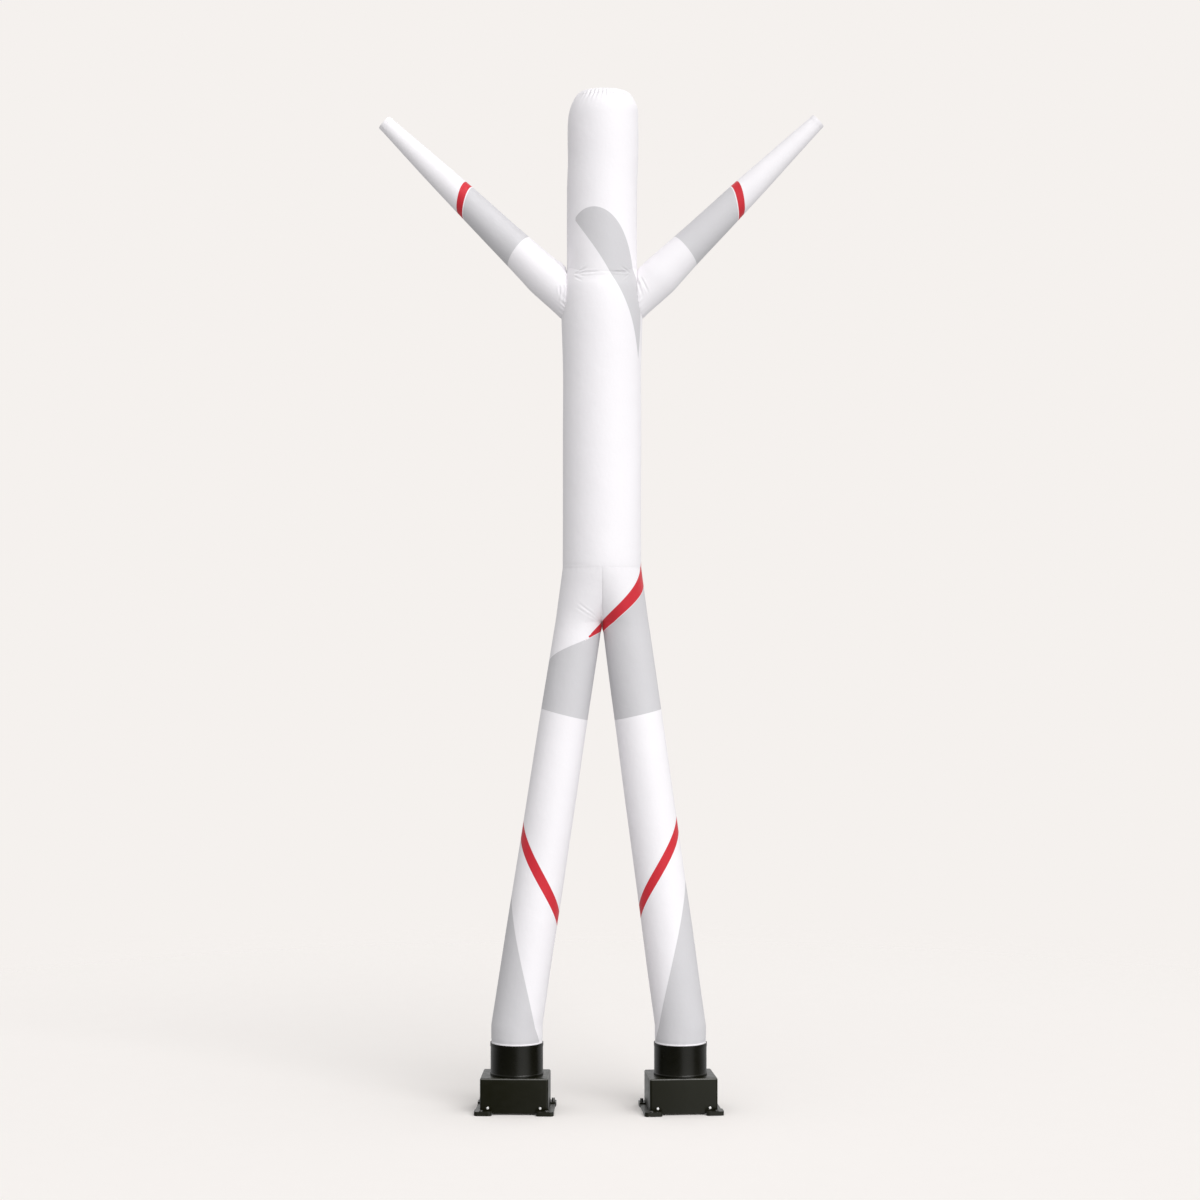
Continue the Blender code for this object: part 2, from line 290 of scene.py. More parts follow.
NECK_GATHERS = Gathers(0.0004, 34, 8, 0.016)
CHEST_GATHERS = Gathers(0.0005, 36, 9, 0.022)
HIP_GATHERS = Gathers(0.0004, 30, 12, 0.022)
TIP_GATHERS = Gathers(0.0008, 13, 41, 0.020)
HEM_GATHERS = Gathers(0.0010, 16, 17, 0.050)


def tuck(away: Array, depth: float = 0.0008, reach: float = 0.004) -> Array:
    """How far a sewn edge draws the cloth in, by the distance from it."""
    return depth * bell(away, reach)


# ---- cloth meshes
@dataclass
class Shell:
    """A cloth wall laid out as rows of points, made into one closed mesh.

    points, around and down have one row for each ring and one column more than the
    ring has faces. around and down are the cloth's own measures, in metres.
    """

    name: str
    points: Array
    around: Array
    down: Array
    joined: Array | None = None  # for each row, whether its last column is its first
    fields: dict[str, Array] = field(default_factory=dict)
    keep: Array | None = None  # the faces that are kept
    pole: bool = False  # whether the first row is one point

    @property
    def grid(self) -> Array:
        """The number of each place in the grid."""
        return np.arange(self.around.size).reshape(self.around.shape)

    @property
    def corner_ids(self) -> Array:
        """The vertex of each place in the grid, where a seam in the grid is joined."""
        ids = self.grid
        joined = slice(None) if self.joined is None else self.joined
        ids[joined, -1] = ids[joined, 0]
        if self.pole:
            ids[0, :] = ids[0, 0]
        return ids.ravel()

    def faces(self) -> Array:
        """The four grid places of each face, as flat indices, wound outwards.

        Returns:
            A row of four for each face.
        """
        grid, ids = self.grid, self.corner_ids
        quads = np.stack([grid[:-1, :-1], grid[1:, :-1], grid[1:, 1:], grid[:-1, 1:]], axis=-1)
        quads = quads.reshape(-1, 4) if self.keep is None else quads[self.keep]
        flat, used = self.points.reshape(-1, 3), np.unique(ids[quads])
        outwards = flat - flat.mean(axis=0) * [1, 1, 0] - [0, 0, 1] * flat
        turned = float((self.normals(quads, ids)[used] * outwards[used]).sum()) < 0.0
        return quads[:, ::-1] if turned else quads

    def normals(self, quads: Array, ids: Array) -> Array:
        """Unit normals at the vertices, from the faces round them.

        Args:
            quads: grid places of each face.
            ids: the vertex of each grid place.

        Returns:
            A normal for each vertex number.
        """
        flat = self.points.reshape(-1, 3)
        corners = flat[ids[quads]]
        cross = np.cross(corners[:, 2] - corners[:, 0], corners[:, 3] - corners[:, 1])
        total = np.zeros_like(flat)
        for corner in range(4):
            np.add.at(total, ids[quads[:, corner]], cross)
        length = np.linalg.norm(total, axis=1, keepdims=True)
        return total / np.maximum(length, 1e-12)

    def lift(self, amount: Array) -> None:
        """Moves the surface outwards by an amount at each place."""
        ids = self.corner_ids
        normals = self.normals(self.faces(), ids)[ids]
        self.points = self.points + amount[..., None] * normals.reshape(self.points.shape)

    def build(self) -> Piece:
        """Makes the two walls and the narrow rims between them.

        Returns:
            The new object, with its place in its mesh.
        """
        quads, ids = self.faces(), self.corner_ids
        used, compact = np.unique(ids[quads], return_inverse=True)
        compact, count = compact.reshape(quads.shape), len(used)
        outer = self.points.reshape(-1, 3)[used]
        inner = outer - WALL * self.normals(quads, ids)[used]
        rims, rim_places = self.rim(quads, compact)
        places = [quads, quads[:, ::-1], rim_places]
        faces = [compact, compact[:, ::-1] + count, np.hstack([rims[:, ::-1], rims + count])]
        lists = [row for group in faces for row in group.tolist()]
        if self.pole:  # a face at the pole has one corner twice
            lists = [[v for i, v in enumerate(row) if v != row[i - 1]] for row in lists]
        mesh = bpy.data.meshes.new(self.name)
        mesh.from_pydata(np.concatenate([outer, inner]).tolist(), [], lists)
        self.add_maps(mesh, places, faces)
        for key, values in self.fields.items():
            layer = mesh.attributes.new(key, "FLOAT", "POINT")
            layer.data.foreach_set("value", np.tile(values.ravel()[used], 2).astype(np.float32))
        mesh.shade_smooth()
        mesh.set_sharp_from_angle(angle=math.radians(50.0))
        mesh.validate()
        obj = bpy.data.objects.new(self.name, mesh)
        bpy.context.scene.collection.objects.link(obj)
        return obj

    def rim(self, quads: Array, compact: Array) -> tuple[Array, Array]:
        """The free edges of the outer wall.

        Args:
            quads: grid places of each face.
            compact: vertices of each face.

        Returns:
            The two vertices of each free edge, and four grid places for its rim face.
        """
        next_vertex, next_place = (np.roll(table, -1, axis=1) for table in (compact, quads))
        real = compact != next_vertex
        start, end, a, b = (table[real] for table in (compact, next_vertex, quads, next_place))
        size = int(compact.max()) + 1
        free = ~np.isin(start * size + end, end * size + start)
        a, b = a[free], b[free]
        return np.stack([start[free], end[free]], axis=-1), np.stack([b, a, a, b], axis=-1)

    def add_maps(self, mesh: bpy.types.Mesh, places: list[Array], faces: list[Array]) -> None:
        """Gives the mesh its map in metres and its map for baking.

        Args:
            mesh: the mesh of both walls and their rims.
            places: grid places of the corners of each group of faces.
            faces: vertices of the same corners.
        """
        around, down = self.around.ravel(), self.down.ravel()
        share_a, share_d = ((run - run.min()) / np.ptp(run) for run in (around, down))
        maps = {"Cloth": [], "OFBake": []}
        for part, (corners, vertices) in enumerate(zip(places, faces)):
            once = vertices != np.roll(vertices, 1, axis=1)
            if part < len(BAKE_BANDS):
                start, width = BAKE_BANDS[part]
                u = start + width * share_a[corners]
                v = BAKE_MARGIN + (1.0 - 2.0 * BAKE_MARGIN) * share_d[corners]
            else:
                row = np.arange(len(corners))[:, None]
                u = np.broadcast_to(np.repeat(RIM_BAND, 2), corners.shape)
                v = 0.005 + 0.99 / len(corners) * (row + np.array([[0.1, 0.8, 0.8, 0.1]]))
            maps["Cloth"].append(np.stack([around[corners], down[corners]], axis=-1)[once])
            maps["OFBake"].append(np.stack([u, v], axis=-1)[once])
        for key, values in maps.items():
            layer = mesh.uv_layers.new(name=key)
            layer.data.foreach_set("uv", np.concatenate(values).astype(np.float32).ravel())


# ---- finishes
class Graph:
    """The nodes of one material or of the sky, added and linked by name."""

    def __init__(self, owner: Material | bpy.types.World) -> None:
        """Starts from the shader and the output that the owner is given.

        Args:
            owner: a new material or world.
        """
        owner.use_nodes = True
        self.owner = owner
        self.tree = owner.node_tree
        self.shader, self.output = (
            next(node for node in self.tree.nodes if node.type in kinds)
            for kinds in (("BSDF_PRINCIPLED", "BACKGROUND"), ("OUTPUT_MATERIAL", "OUTPUT_WORLD"))
        )

    def add(self, kind: str, inputs: dict | None = None, **settings: object) -> bpy.types.Node:
        """Adds a node.

        Args:
            kind: the node's type, without "ShaderNode".
            inputs: values or output sockets, by the name or number of the input.
            settings: the node's own settings.

        Returns:
            The node.
        """
        node = self.tree.nodes.new("ShaderNode" + kind)
        for key, value in settings.items():
            setattr(node, key, value)
        for key, value in (inputs or {}).items():
            self.feed(node.inputs[key], value)
        return node

    def feed(self, socket: Socket, value: object) -> None:
        """Links an output to a socket, or sets the socket's own value.

        Args:
            socket: an input.
            value: another node's output, or a plain value.
        """
        if isinstance(value, Socket):
            self.tree.links.new(value, socket)
        else:
            socket.default_value = value

    def maths(self, operation: str, *values: object) -> Socket:
        """The result of one sum."""
        return self.add("Math", dict(enumerate(values)), operation=operation).outputs[0]

    def vector(self, operation: str, *values: object) -> Socket:
        """The result of one sum on vectors, a number for a length or a dot product."""
        node = self.add("VectorMath", dict(enumerate(values)), operation=operation)
        return node.outputs["Value" if operation in ("LENGTH", "DOT_PRODUCT") else "Vector"]

    def step(
        self, value: object, low: float, high: float, to: tuple[float, float] = (0.0, 1.0)
    ) -> Socket:
        """A smooth step from one level to another."""
        inputs = {"Value": value, "From Min": low, "From Max": high, "To Min": to[0], "To Max": to[1]}
        return self.add("MapRange", inputs, interpolation_type="SMOOTHSTEP").outputs[0]

    def blend(self, share: object, first: object, second: object, mode: str = "MIX") -> Socket:
        """Two colours mixed by a share.

        Args:
            share: how much of the second shows, 0 to 1.
            first: the colour below.
            second: the colour laid over it.
            mode: how the two are mixed.

        Returns:
            The mixed colour.
        """
        node = self.add("Mix", data_type="RGBA", blend_type=mode)
        for key, value in (("Factor_Float", share), ("A_Color", first), ("B_Color", second)):
            self.feed(next(s for s in node.inputs if s.identifier == key), value)
        return next(s for s in node.outputs if s.identifier == "Result_Color")

    def shade(self, body: object, value: Socket) -> Socket:
        """A colour darkened by a value."""
        grey = self.add("CombineColor", dict.fromkeys(range(3), value)).outputs[0]
        return self.blend(1.0, body, grey, "MULTIPLY")

    def noise(self, scale: float, detail: float = 3.0) -> Socket:
        """Noise in the object's own metres."""
        place = self.add("TexCoord").outputs["Object"]
        return self.add("TexNoise", {"Vector": place, "Scale": scale, "Detail": detail}).outputs[0]

    def attribute(self, name: str) -> Socket:
        """A number kept at each point of the mesh."""
        return self.add("Attribute", attribute_name=name).outputs["Fac"]

    def patches(
        self, scale: float, detail: float, to: tuple[float, float], low: float = 0.3, high: float = 0.7
    ) -> Socket:
        """Soft patches of noise between two levels."""
        return self.step(self.noise(scale, detail), low, high, to)

    def bump(self, height: object, distance: float, strength: float, under: object = None) -> Socket:
        """Small relief, on top of the relief under it."""
        inputs = {"Height": height, "Distance": distance, "Strength": strength}
        return self.add("Bump", inputs | ({} if under is None else {"Normal": under})).outputs[0]

    def finish(self, **inputs: object) -> Material:
        """Feeds the shader, an underscore standing for each space in a socket's name."""
        for key, value in inputs.items():
            self.feed(self.shader.inputs[key.replace("_", " ")], value)
        return self.owner


def colour(red: float, green: float, blue: float) -> tuple[float, float, float, float]:
    """An opaque colour."""
    return (red, green, blue, 1.0)


@dataclass(frozen=True)
class ClothFinish:
    """Light woven nylon, dyed in the print and stitched beside its seams."""

    name: str = "printed_nylon"
    white: tuple = colour(0.885, 0.862, 0.888)
    grey: tuple = colour(0.612, 0.601, 0.620)
    red: tuple = colour(0.600, 0.020, 0.034)
    print_blur: float = 0.0012
    ripstop_pitch: float = 0.006
    ripstop_width: float = 0.0007
    stitch_rows: tuple[float, ...] = (0.005, 0.011)  # distances from the sewn edge
    stitch_length: float = 0.0042

    def material(self) -> Material:
        """Builds the finish.

        Returns:
            The new material.
        """
        graph = Graph(bpy.data.materials.new(self.name))
        weave = graph.add("UVMap", uv_map="Cloth").outputs[0]
        around, down, _ = graph.add("SeparateXYZ", {0: weave}).outputs
        stitches = self.stitches(graph, around, down)
        body = graph.shade(self.printed(graph), graph.patches(2.3, 4.0, (0.975, 1.0), 0.25, 0.75))
        body = graph.shade(body, graph.step(stitches, 0.0, 1.0, (1.0, 0.975)))
        relief = graph.bump(graph.noise(11.0, 3.0), 0.010, 0.28)
        relief = graph.bump(graph.noise(48.0, 2.0), 0.0016, 0.30, relief)
        relief = graph.bump(self.ripstop(graph, around, down), 0.0003, 0.30, relief)
        return graph.finish(
            Base_Color=body,
            Roughness=graph.patches(90.0, 2.0, (0.50, 0.60)),
            Normal=graph.bump(stitches, 0.0006, 0.4, relief),
            Specular_IOR_Level=0.30,
            Sheen_Weight=0.10,
            Sheen_Roughness=0.45,
        )

    def printed(self, graph: Graph) -> Socket:
        """The cloth's colour, with its grey and its red laid on by their edges.

        Args:
            graph: the finish's node tree.

        Returns:
            The colour.
        """
        body = self.white
        for name in ("grey", "red"):
            share = graph.step(graph.attribute(name), -self.print_blur, self.print_blur)
            body = graph.blend(share, body, getattr(self, name))
        return body

    def ripstop(self, graph: Graph, around: Socket, down: Socket) -> Socket:
        """The thicker threads that stand proud in a small square grid.

        Args:
            graph: the finish's node tree.
            around: distance round the cloth.
            down: distance down it.

        Returns:
            1 on a thread and 0 between.
        """
        lines = []
        for run in (around, down):
            away = graph.maths("PINGPONG", run, self.ripstop_pitch / 2.0)
            lines.append(graph.step(away, 0.0, self.ripstop_width, (1.0, 0.0)))
        return graph.maths("MAXIMUM", *lines)

    def stitches(self, graph: Graph, around: Socket, down: Socket) -> Socket:
        """Rows of short stitches beside each sewn edge.

        Args:
            graph: the finish's node tree.
            around: distance round the cloth.
            down: distance down it.

        Returns:
            1 on a stitch and 0 beside it.
        """
        seam, rows = graph.attribute("seam"), []
        for place in self.stitch_rows:
            away = graph.maths("ABSOLUTE", graph.maths("SUBTRACT", seam, place))
            rows.append(graph.step(away, 0.0004, 0.0011, (1.0, 0.0)))
        dash = graph.maths("PINGPONG", graph.maths("ADD", around, down), self.stitch_length / 2.0)
        on = graph.step(dash, 0.0004, 0.0008)
        return graph.maths("MULTIPLY", graph.maths("MAXIMUM", *rows), on)


@dataclass(frozen=True)
class PaintFinish:
    """Black powder coat on sheet steel, a little dusty and worn at its edges, with a painted highlight on
    the rounded edges at its top.
    """

    name: str
    base: tuple
    rough: tuple[float, float]
    specular: float
    dust: tuple = colour(0.060, 0.058, 0.054)
    dust_share: float = 0.16
    bend: tuple = colour(0.200, 0.196, 0.186)  # painted highlight, laid on the upward-slanting faces where the sheet is rounded over at the top
    bend_share: float = 0.0
    grain: float = 520.0  # bumps to the metre
    grain_depth: float = 0.00025

    def material(self) -> Material:
        """Builds the finish.

        Returns:
            The new material.
        """
        graph = Graph(bpy.data.materials.new(self.name))
        up = graph.add("SeparateXYZ", {0: graph.add("NewGeometry").outputs["Normal"]}).outputs[2]
        dusty = graph.patches(9.0, 5.0, (0.0, self.dust_share), 0.35, 0.75)
        worn = graph.step(graph.add("NewGeometry").outputs["Pointiness"], 0.53, 0.60)
        # painted highlight: faces that slant upwards, as on the rounded top edges, are made lighter
        highlit_edges = graph.maths("MULTIPLY", graph.step(up, 0.10, 0.35), graph.step(up, 0.75, 0.97, (1.0, 0.0)))
        body = self.base
        for share, patchy, over in (
            (graph.step(up, 0.5, 1.0, (0.15, 1.0)), dusty, self.dust),
            (graph.maths("MULTIPLY", worn, graph.noise(60.0, 3.0)), 0.25, self.dust),
            # painted highlight on the rounded top edges
            (highlit_edges, self.bend_share, self.bend),
        ):
            body = graph.blend(graph.maths("MULTIPLY", share, patchy), body, over)
        return graph.finish(
            Base_Color=body,
            Roughness=graph.patches(35.0, 4.0, self.rough),
            Normal=graph.bump(graph.noise(self.grain, 2.0), self.grain_depth, 0.35),
            Specular_IOR_Level=self.specular,
        )


@dataclass(frozen=True)
class SteelFinish:
    """Bare or plated steel with fine turning marks."""

    name: str
    base: tuple
    rough: tuple[float, float]
    metallic: float = 1.0

    def material(self) -> Material:
        """Builds the finish.

        Returns:
            The new material.
        """
        graph = Graph(bpy.data.materials.new(self.name))
        return graph.finish(
            Base_Color=graph.shade(self.base, graph.patches(420.0, 3.0, (0.75, 1.0))),
            Roughness=graph.patches(700.0, 2.0, self.rough),
            Normal=graph.bump(graph.noise(900.0, 2.0), 0.0002, 0.25),
            Metallic=self.metallic,
        )


# ---- cloth pieces
HEM_Z = 0.384
ANKLE_Z = 0.500
CROTCH_Z = 2.868
HIP_Z = 3.188
NECK_Z = 4.937
CROWN_SEAM_Z = 5.949
TOP_Z = 6.000
TORSO_RADIUS = 0.2305
THIGH_RADIUS = 0.1365
ANKLE_RADIUS = 0.1505
THIGH_X = THIGH_RADIUS + 0.0005
HEAD_RADIUS = 0.2057
HALF_TURN = HEAD_RADIUS * math.pi / 2.0  # from the front to the side, round the head

TORSO_PROFILE = [
    # outer radius, height
    (0.2058, 4.9365),
    (0.2150, 4.9050),
    (0.2270, 4.8500),
    (0.2345, 4.7750),
    (0.2375, 4.7000),
    (0.2375, 4.6400),
    (0.2340, 4.5200),
    (0.2305, 4.3800),
    (0.2300, 3.9800),
    (0.2300, 3.5800),
    (0.2305, 3.1900),
]
HEAD_PROFILE = [
    # outer radius, height
    (0.1660, CROWN_SEAM_Z),
    (0.1775, 5.9300),
    (0.1930, 5.9000),
    (0.2025, 5.8600),
    (0.2060, 5.8050),
    (0.2062, 5.5200),
    (HEAD_RADIUS, 5.2300),
    (HEAD_RADIUS, NECK_Z),
]
CROWN_PROFILE = [
    # outer radius, height
    (0.0000, TOP_Z),
    (0.0500, 5.9975),
    (0.0800, 5.9920),
    (0.1030, 5.9875),
    (0.1260, 5.9825),
    (0.1430, 5.9750),
    (0.1560, 5.9635),
    (0.1657, 5.9498),
]
ARM_PROFILE = [
    # outer radius, distance along the arm
    (0.1080, -0.150),
    (0.1120, 0.000),
    (0.1165, 0.100),
    (0.1185, 0.160),
    (0.1130, 0.250),
    (0.1060, 0.366),
    (0.0950, 0.600),
    (0.0845, 0.835),
    (0.0660, 1.150),
    (0.0450, 1.470),
]


@dataclass
class ClothPiece:
    """One cut and sewn piece of the figure, made over the solid that stands for it."""

    name: str
    node: str
    flat: tuple[float, float]
    area: float
    rests_on: tuple[str, ...]
    columns: int
    finer_front: float = 0.0  # share by which the columns stand closer in front

    def turn(self) -> Array:
        """Angles from the front round one turn, the last repeating the first."""
        even = np.linspace(-math.pi, math.pi, self.columns + 1)
        return even - self.finer_front * np.sin(even)

    def grid(self, places: Array) -> tuple[Array, Array]:
        """The angle and the place along the cloth of every point, a row for each place."""
        return tuple(np.meshgrid(self.turn(), places))

    def shell(self) -> Shell:
        """The piece's surface, folds and prints."""
        raise NotImplementedError

    def dress(self, cloth: Material) -> Piece:
        """Builds the piece, gives it its finish and says what it is.

        Args:
            cloth: the finish of every cloth piece.

        Returns:
            The piece.
        """
        piece = self.shell().build()
        piece.data.materials.append(cloth)
        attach(piece, BODY)
        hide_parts(self.node)
        LOG.info("%s: %d faces of blown cloth", piece.name, len(piece.data.polygons))
        return piece


def ring_points(angle: Array, radius: Array, height: Array) -> Array:
    """Points round the figure's own axis, the angle counted from the front."""
    x = radius * np.sin(angle)
    y = -radius * np.cos(angle)
    return np.stack([x, y, np.broadcast_to(height, x.shape)], axis=-1)


@dataclass(frozen=True)
class NeckSag:
    """How the seam round the neck hangs lower in front than at its sides."""

    drop: float = 0.033
    side: float = 0.38  # cosine of the angle from the front where the drop begins
    torso_reach: float = 0.12
    head_reach: float = 0.20

    def lowered(self, angle: Array, height: Array, reach: float) -> Array:
        """The heights of the cloth's rows, drawn down near the seam in front."""
        front = eased((np.cos(angle) - self.side) / (1.0 - self.side))
        return height - self.drop * front * eased(1.0 - np.abs(height - NECK_Z) / reach)


@dataclass(frozen=True)
class HeadLean:
    """How the blown head leans to the right, and its top a little further."""

    lean: float = 0.006
    lean_heights: tuple[float, float] = (5.40, 5.60)
    top_lean: float = 0.006
    top_heights: tuple[float, float] = (5.80, 5.90)

    def leaned(self, points: Array) -> Array:
        """The points, moved to the right by their height.

        Args:
            points: points of the head or crown.

        Returns:
            New points.
        """
        moved = points.copy()
        for size, (low, high) in ((self.lean, self.lean_heights), (self.top_lean, self.top_heights)):
            moved[..., 0] += size * eased((points[..., 2] - low) / (high - low))
        return moved


@dataclass(frozen=True)
class RimGathers:
    """Short slanting gathers where the head is sewn to its crown, strongest on the left."""

    count: int = 44
    height: float = 0.0052
    reach: float = 0.020
    uneven: float = 0.008
    slant: float = 1.3  # radians round to the metre down
    middle: float = -0.65  # angle where they are strongest

    def lift(self, angle: Array, away: Array, slant: float) -> Array:
        """How far they move each point, by its distance from the seam."""
        reach = np.maximum(self.reach + self.uneven * ripple(angle, 17, 21), 0.010)
        share = 0.65 + 0.70 * bell(angle - self.middle, 0.40)
        return self.height * share * ripple(angle + slant * away, self.count, 5) * np.exp(-away / reach)


@dataclass(frozen=True)
class Crescent:
    """A plain crescent printed where the head meets the torso, cut from an ellipse by a circle."""

    middle: tuple[float, float] = (-0.060, 4.620)  # of the ellipse, round the front and up
    half_width: float = 0.345
    half_height: float = 0.660
    cut_middle: tuple[float, float] = (-1.320, 4.020)
    cut_radius: float = 1.632

    def field(self, across: Array, height: Array) -> Array:
        """Distance inside its edge, negative outside, in metres.

        Args:
            across: place round the front, in metres.
            height: height of the point.

        Returns:
            A distance for each point.
        """
        x, z = across - self.middle[0], height - self.middle[1]
        share = np.hypot(x / self.half_width, z / self.half_height)
        slope = np.hypot(x / self.half_width**2, z / self.half_height**2)
        outer = (1.0 - share) * share / np.maximum(slope, 1e-6)
        away = np.hypot(across - self.cut_middle[0], height - self.cut_middle[1])
        return np.minimum(outer, away - self.cut_radius)


@dataclass
class Crown(ClothPiece):
    """The round panel that closes the head, drawn up at its rim."""

    def shell(self) -> Shell:
        """A low dome with short gathers at its rim.

        Returns:
            The shell, with its prints and its distance from the seam.
        """
        rim = CROWN_PROFILE[-1][0]
        rows = spaced(0.0, rim, far=0.0080, near=0.0022, seams=[rim], reach=0.035)
        angle, radius = self.grid(rows)
        height = smooth_profile([(z, r) for r, z in CROWN_PROFILE], radius)
        points = HeadLean().leaned(ring_points(angle, radius, height))
        inside = rim - radius
        shell = Shell(self.name, points, angle * rim, radius, pole=True)
        gathers = RimGathers().lift(angle, inside, 0.0) * eased(radius / 0.06)
        shell.lift(gathers - tuck(inside))
        zero = np.full_like(radius, -1.0)
        shell.fields = {"grey": zero, "red": zero, "seam": inside}
        return shell


NECK_FANS = [
    # short folds that fan out from each end of the neck's front
    Crease((-0.1758, 4.8953), (-0.0730, 4.9337), 0.0048, 0.0024, 0.7),
    Crease((-0.1758, 4.8953), (-0.0193, 4.9014), 0.0052, 0.0034, 0.7),
    Crease((-0.1758, 4.8953), (-0.1050, 4.8795), 0.0048, 0.0016, 0.7),
    Crease((-0.1747, 4.8753), (-0.1220, 4.8531), 0.0048, 0.0014, 0.7),
    Crease((0.1847, 4.9035), (0.1122, 4.9366), 0.0046, 0.0022, 0.7),
    Crease((0.1847, 4.9035), (0.0627, 4.9025), 0.0046, 0.0024, 0.7),
    Crease((0.1847, 4.9035), (0.1286, 4.8595), 0.0046, 0.0015, 0.7),
]


@dataclass
class HeadTube(ClothPiece):
    """The straight tube of the head, gathered to the crown."""

    def shell(self) -> Shell:
        """The tube from the crown's seam down to the neck.

        Returns:
            The shell, with its prints and its distance from the seams.
        """
        low, high = NECK_Z + 0.0001, CROWN_SEAM_Z
        rows = spaced(low, high, far=0.0190, near=0.0032, seams=[low, high], reach=0.045)
        angle, height = self.grid(rows[::-1])
        radius = smooth_profile(HEAD_PROFILE, height)
        below, above = high - height, height - low
        height = NeckSag().lowered(angle, height, NeckSag.head_reach)
        points = HeadLean().leaned(ring_points(angle, radius, height))
        shell = Shell(self.name, points, angle * HEAD_RADIUS, height)
        lift = RimGathers().lift(angle, below, RimGathers.slant)
        lift -= tuck(below)
        lift += NECK_GATHERS.lift(angle, above)
        lift += 0.0008 * drift_field(angle, height, seed=3, size=0.30)
        lift += lift_by(NECK_FANS, angle * radius, height)
        shell.lift(lift)
        shell.fields = {
            "grey": Crescent().field(folded_turn(angle) * HALF_TURN, height),
            "red": np.full_like(height, -1.0),
            "seam": np.minimum(below, above),
        }
        return shell


@dataclass
class Torso(ClothPiece):
    """The wide tube from the hips to the neck, with an armhole on each side."""

    chest_z: float = 4.87  # where the front and the back are flattened under the neck
    chest_reach: float = 0.060
    chest_depth: float = 0.0075
    neck_folds: tuple[float, float] = (4.86, 4.90)  # heights where the rows stand closer
    creases: list[Crease] = field(default_factory=list)

    def shell(self) -> Shell:
        """The tube from the neck down to the hip seam.

        Returns:
            The shell, with its prints and its distance from the seams.
        """
        low, high = HIP_Z + 0.0002, NECK_Z - 0.0001
        seams = [low, *self.neck_folds, high]
        rows = spaced(low, high, far=0.0200, near=0.0038, seams=seams, reach=0.045)
        angle, height = self.grid(rows[::-1])
        radius = smooth_profile(TORSO_PROFILE, height)
        chest = bell(height - self.chest_z, self.chest_reach) * eased((high - height) / 0.030)
        radius -= self.chest_depth * np.cos(angle) ** 4 * chest
        below, above = high - height, height - low
        depth = depth_share(height)
        height = NeckSag().lowered(angle, height, NeckSag.torso_reach)
        points = ring_points(angle, radius, height)
        points[..., 1] *= depth
        shell = Shell(self.name, points, angle * TORSO_RADIUS, height)
        middle = 0.5 * (points[:-1, :-1] + points[1:, 1:])
        shell.keep = np.ones(middle.shape[:2], bool)
        for arm in ARMS.values():
            shell.keep &= arm.distance_from_axis(middle) > arm.armhole_radius
        lift = CHEST_GATHERS.lift(angle, below)
        lift += HIP_GATHERS.lift(angle, above)
        lift += 0.0013 * drift_field(angle, height, seed=4, size=0.42)
        lift += lift_by(NECK_FANS + self.creases, angle * radius, height)
        shell.lift(lift)
        armholes = [np.abs(arm.distance_from_axis(points) - arm.root_radius) for arm in ARMS.values()]
        shell.fields = {
            "grey": Crescent().field(folded_turn(angle) * HALF_TURN, height),
            "red": HipStripe().field(shell.points, angle),
            "seam": np.min([below, above, *armholes], axis=0),
        }
        return shell


@dataclass(frozen=True)
class ArmPrint:
    """Where the rings of an arm's print lie, each a slightly tilted ring.

    Each is (distance along the arm, slant from under to over it, slant to its front).
    """

    grey_start: tuple[float, float, float]
    ring_start: tuple[float, float, float]
    ring_end: tuple[float, float, float]
    white_line: float = 0.0070

    def fields(self, angle: Array, along: Array) -> dict[str, Array]:
        """The grey band and the red ring beyond it, with a white line between.

        Args:
            angle: angle round the tube, from its front.
            along: distance along the arm.

        Returns:
            Distances inside the edges of each colour.
        """
        start, ring, end = (
            edge + over * np.sin(angle) + front * np.cos(angle)
            for edge, over, front in (self.grey_start, self.ring_start, self.ring_end)
        )
        return {
            "grey": between(along, start, ring - self.white_line),
            "red": between(along, ring, end),
        }


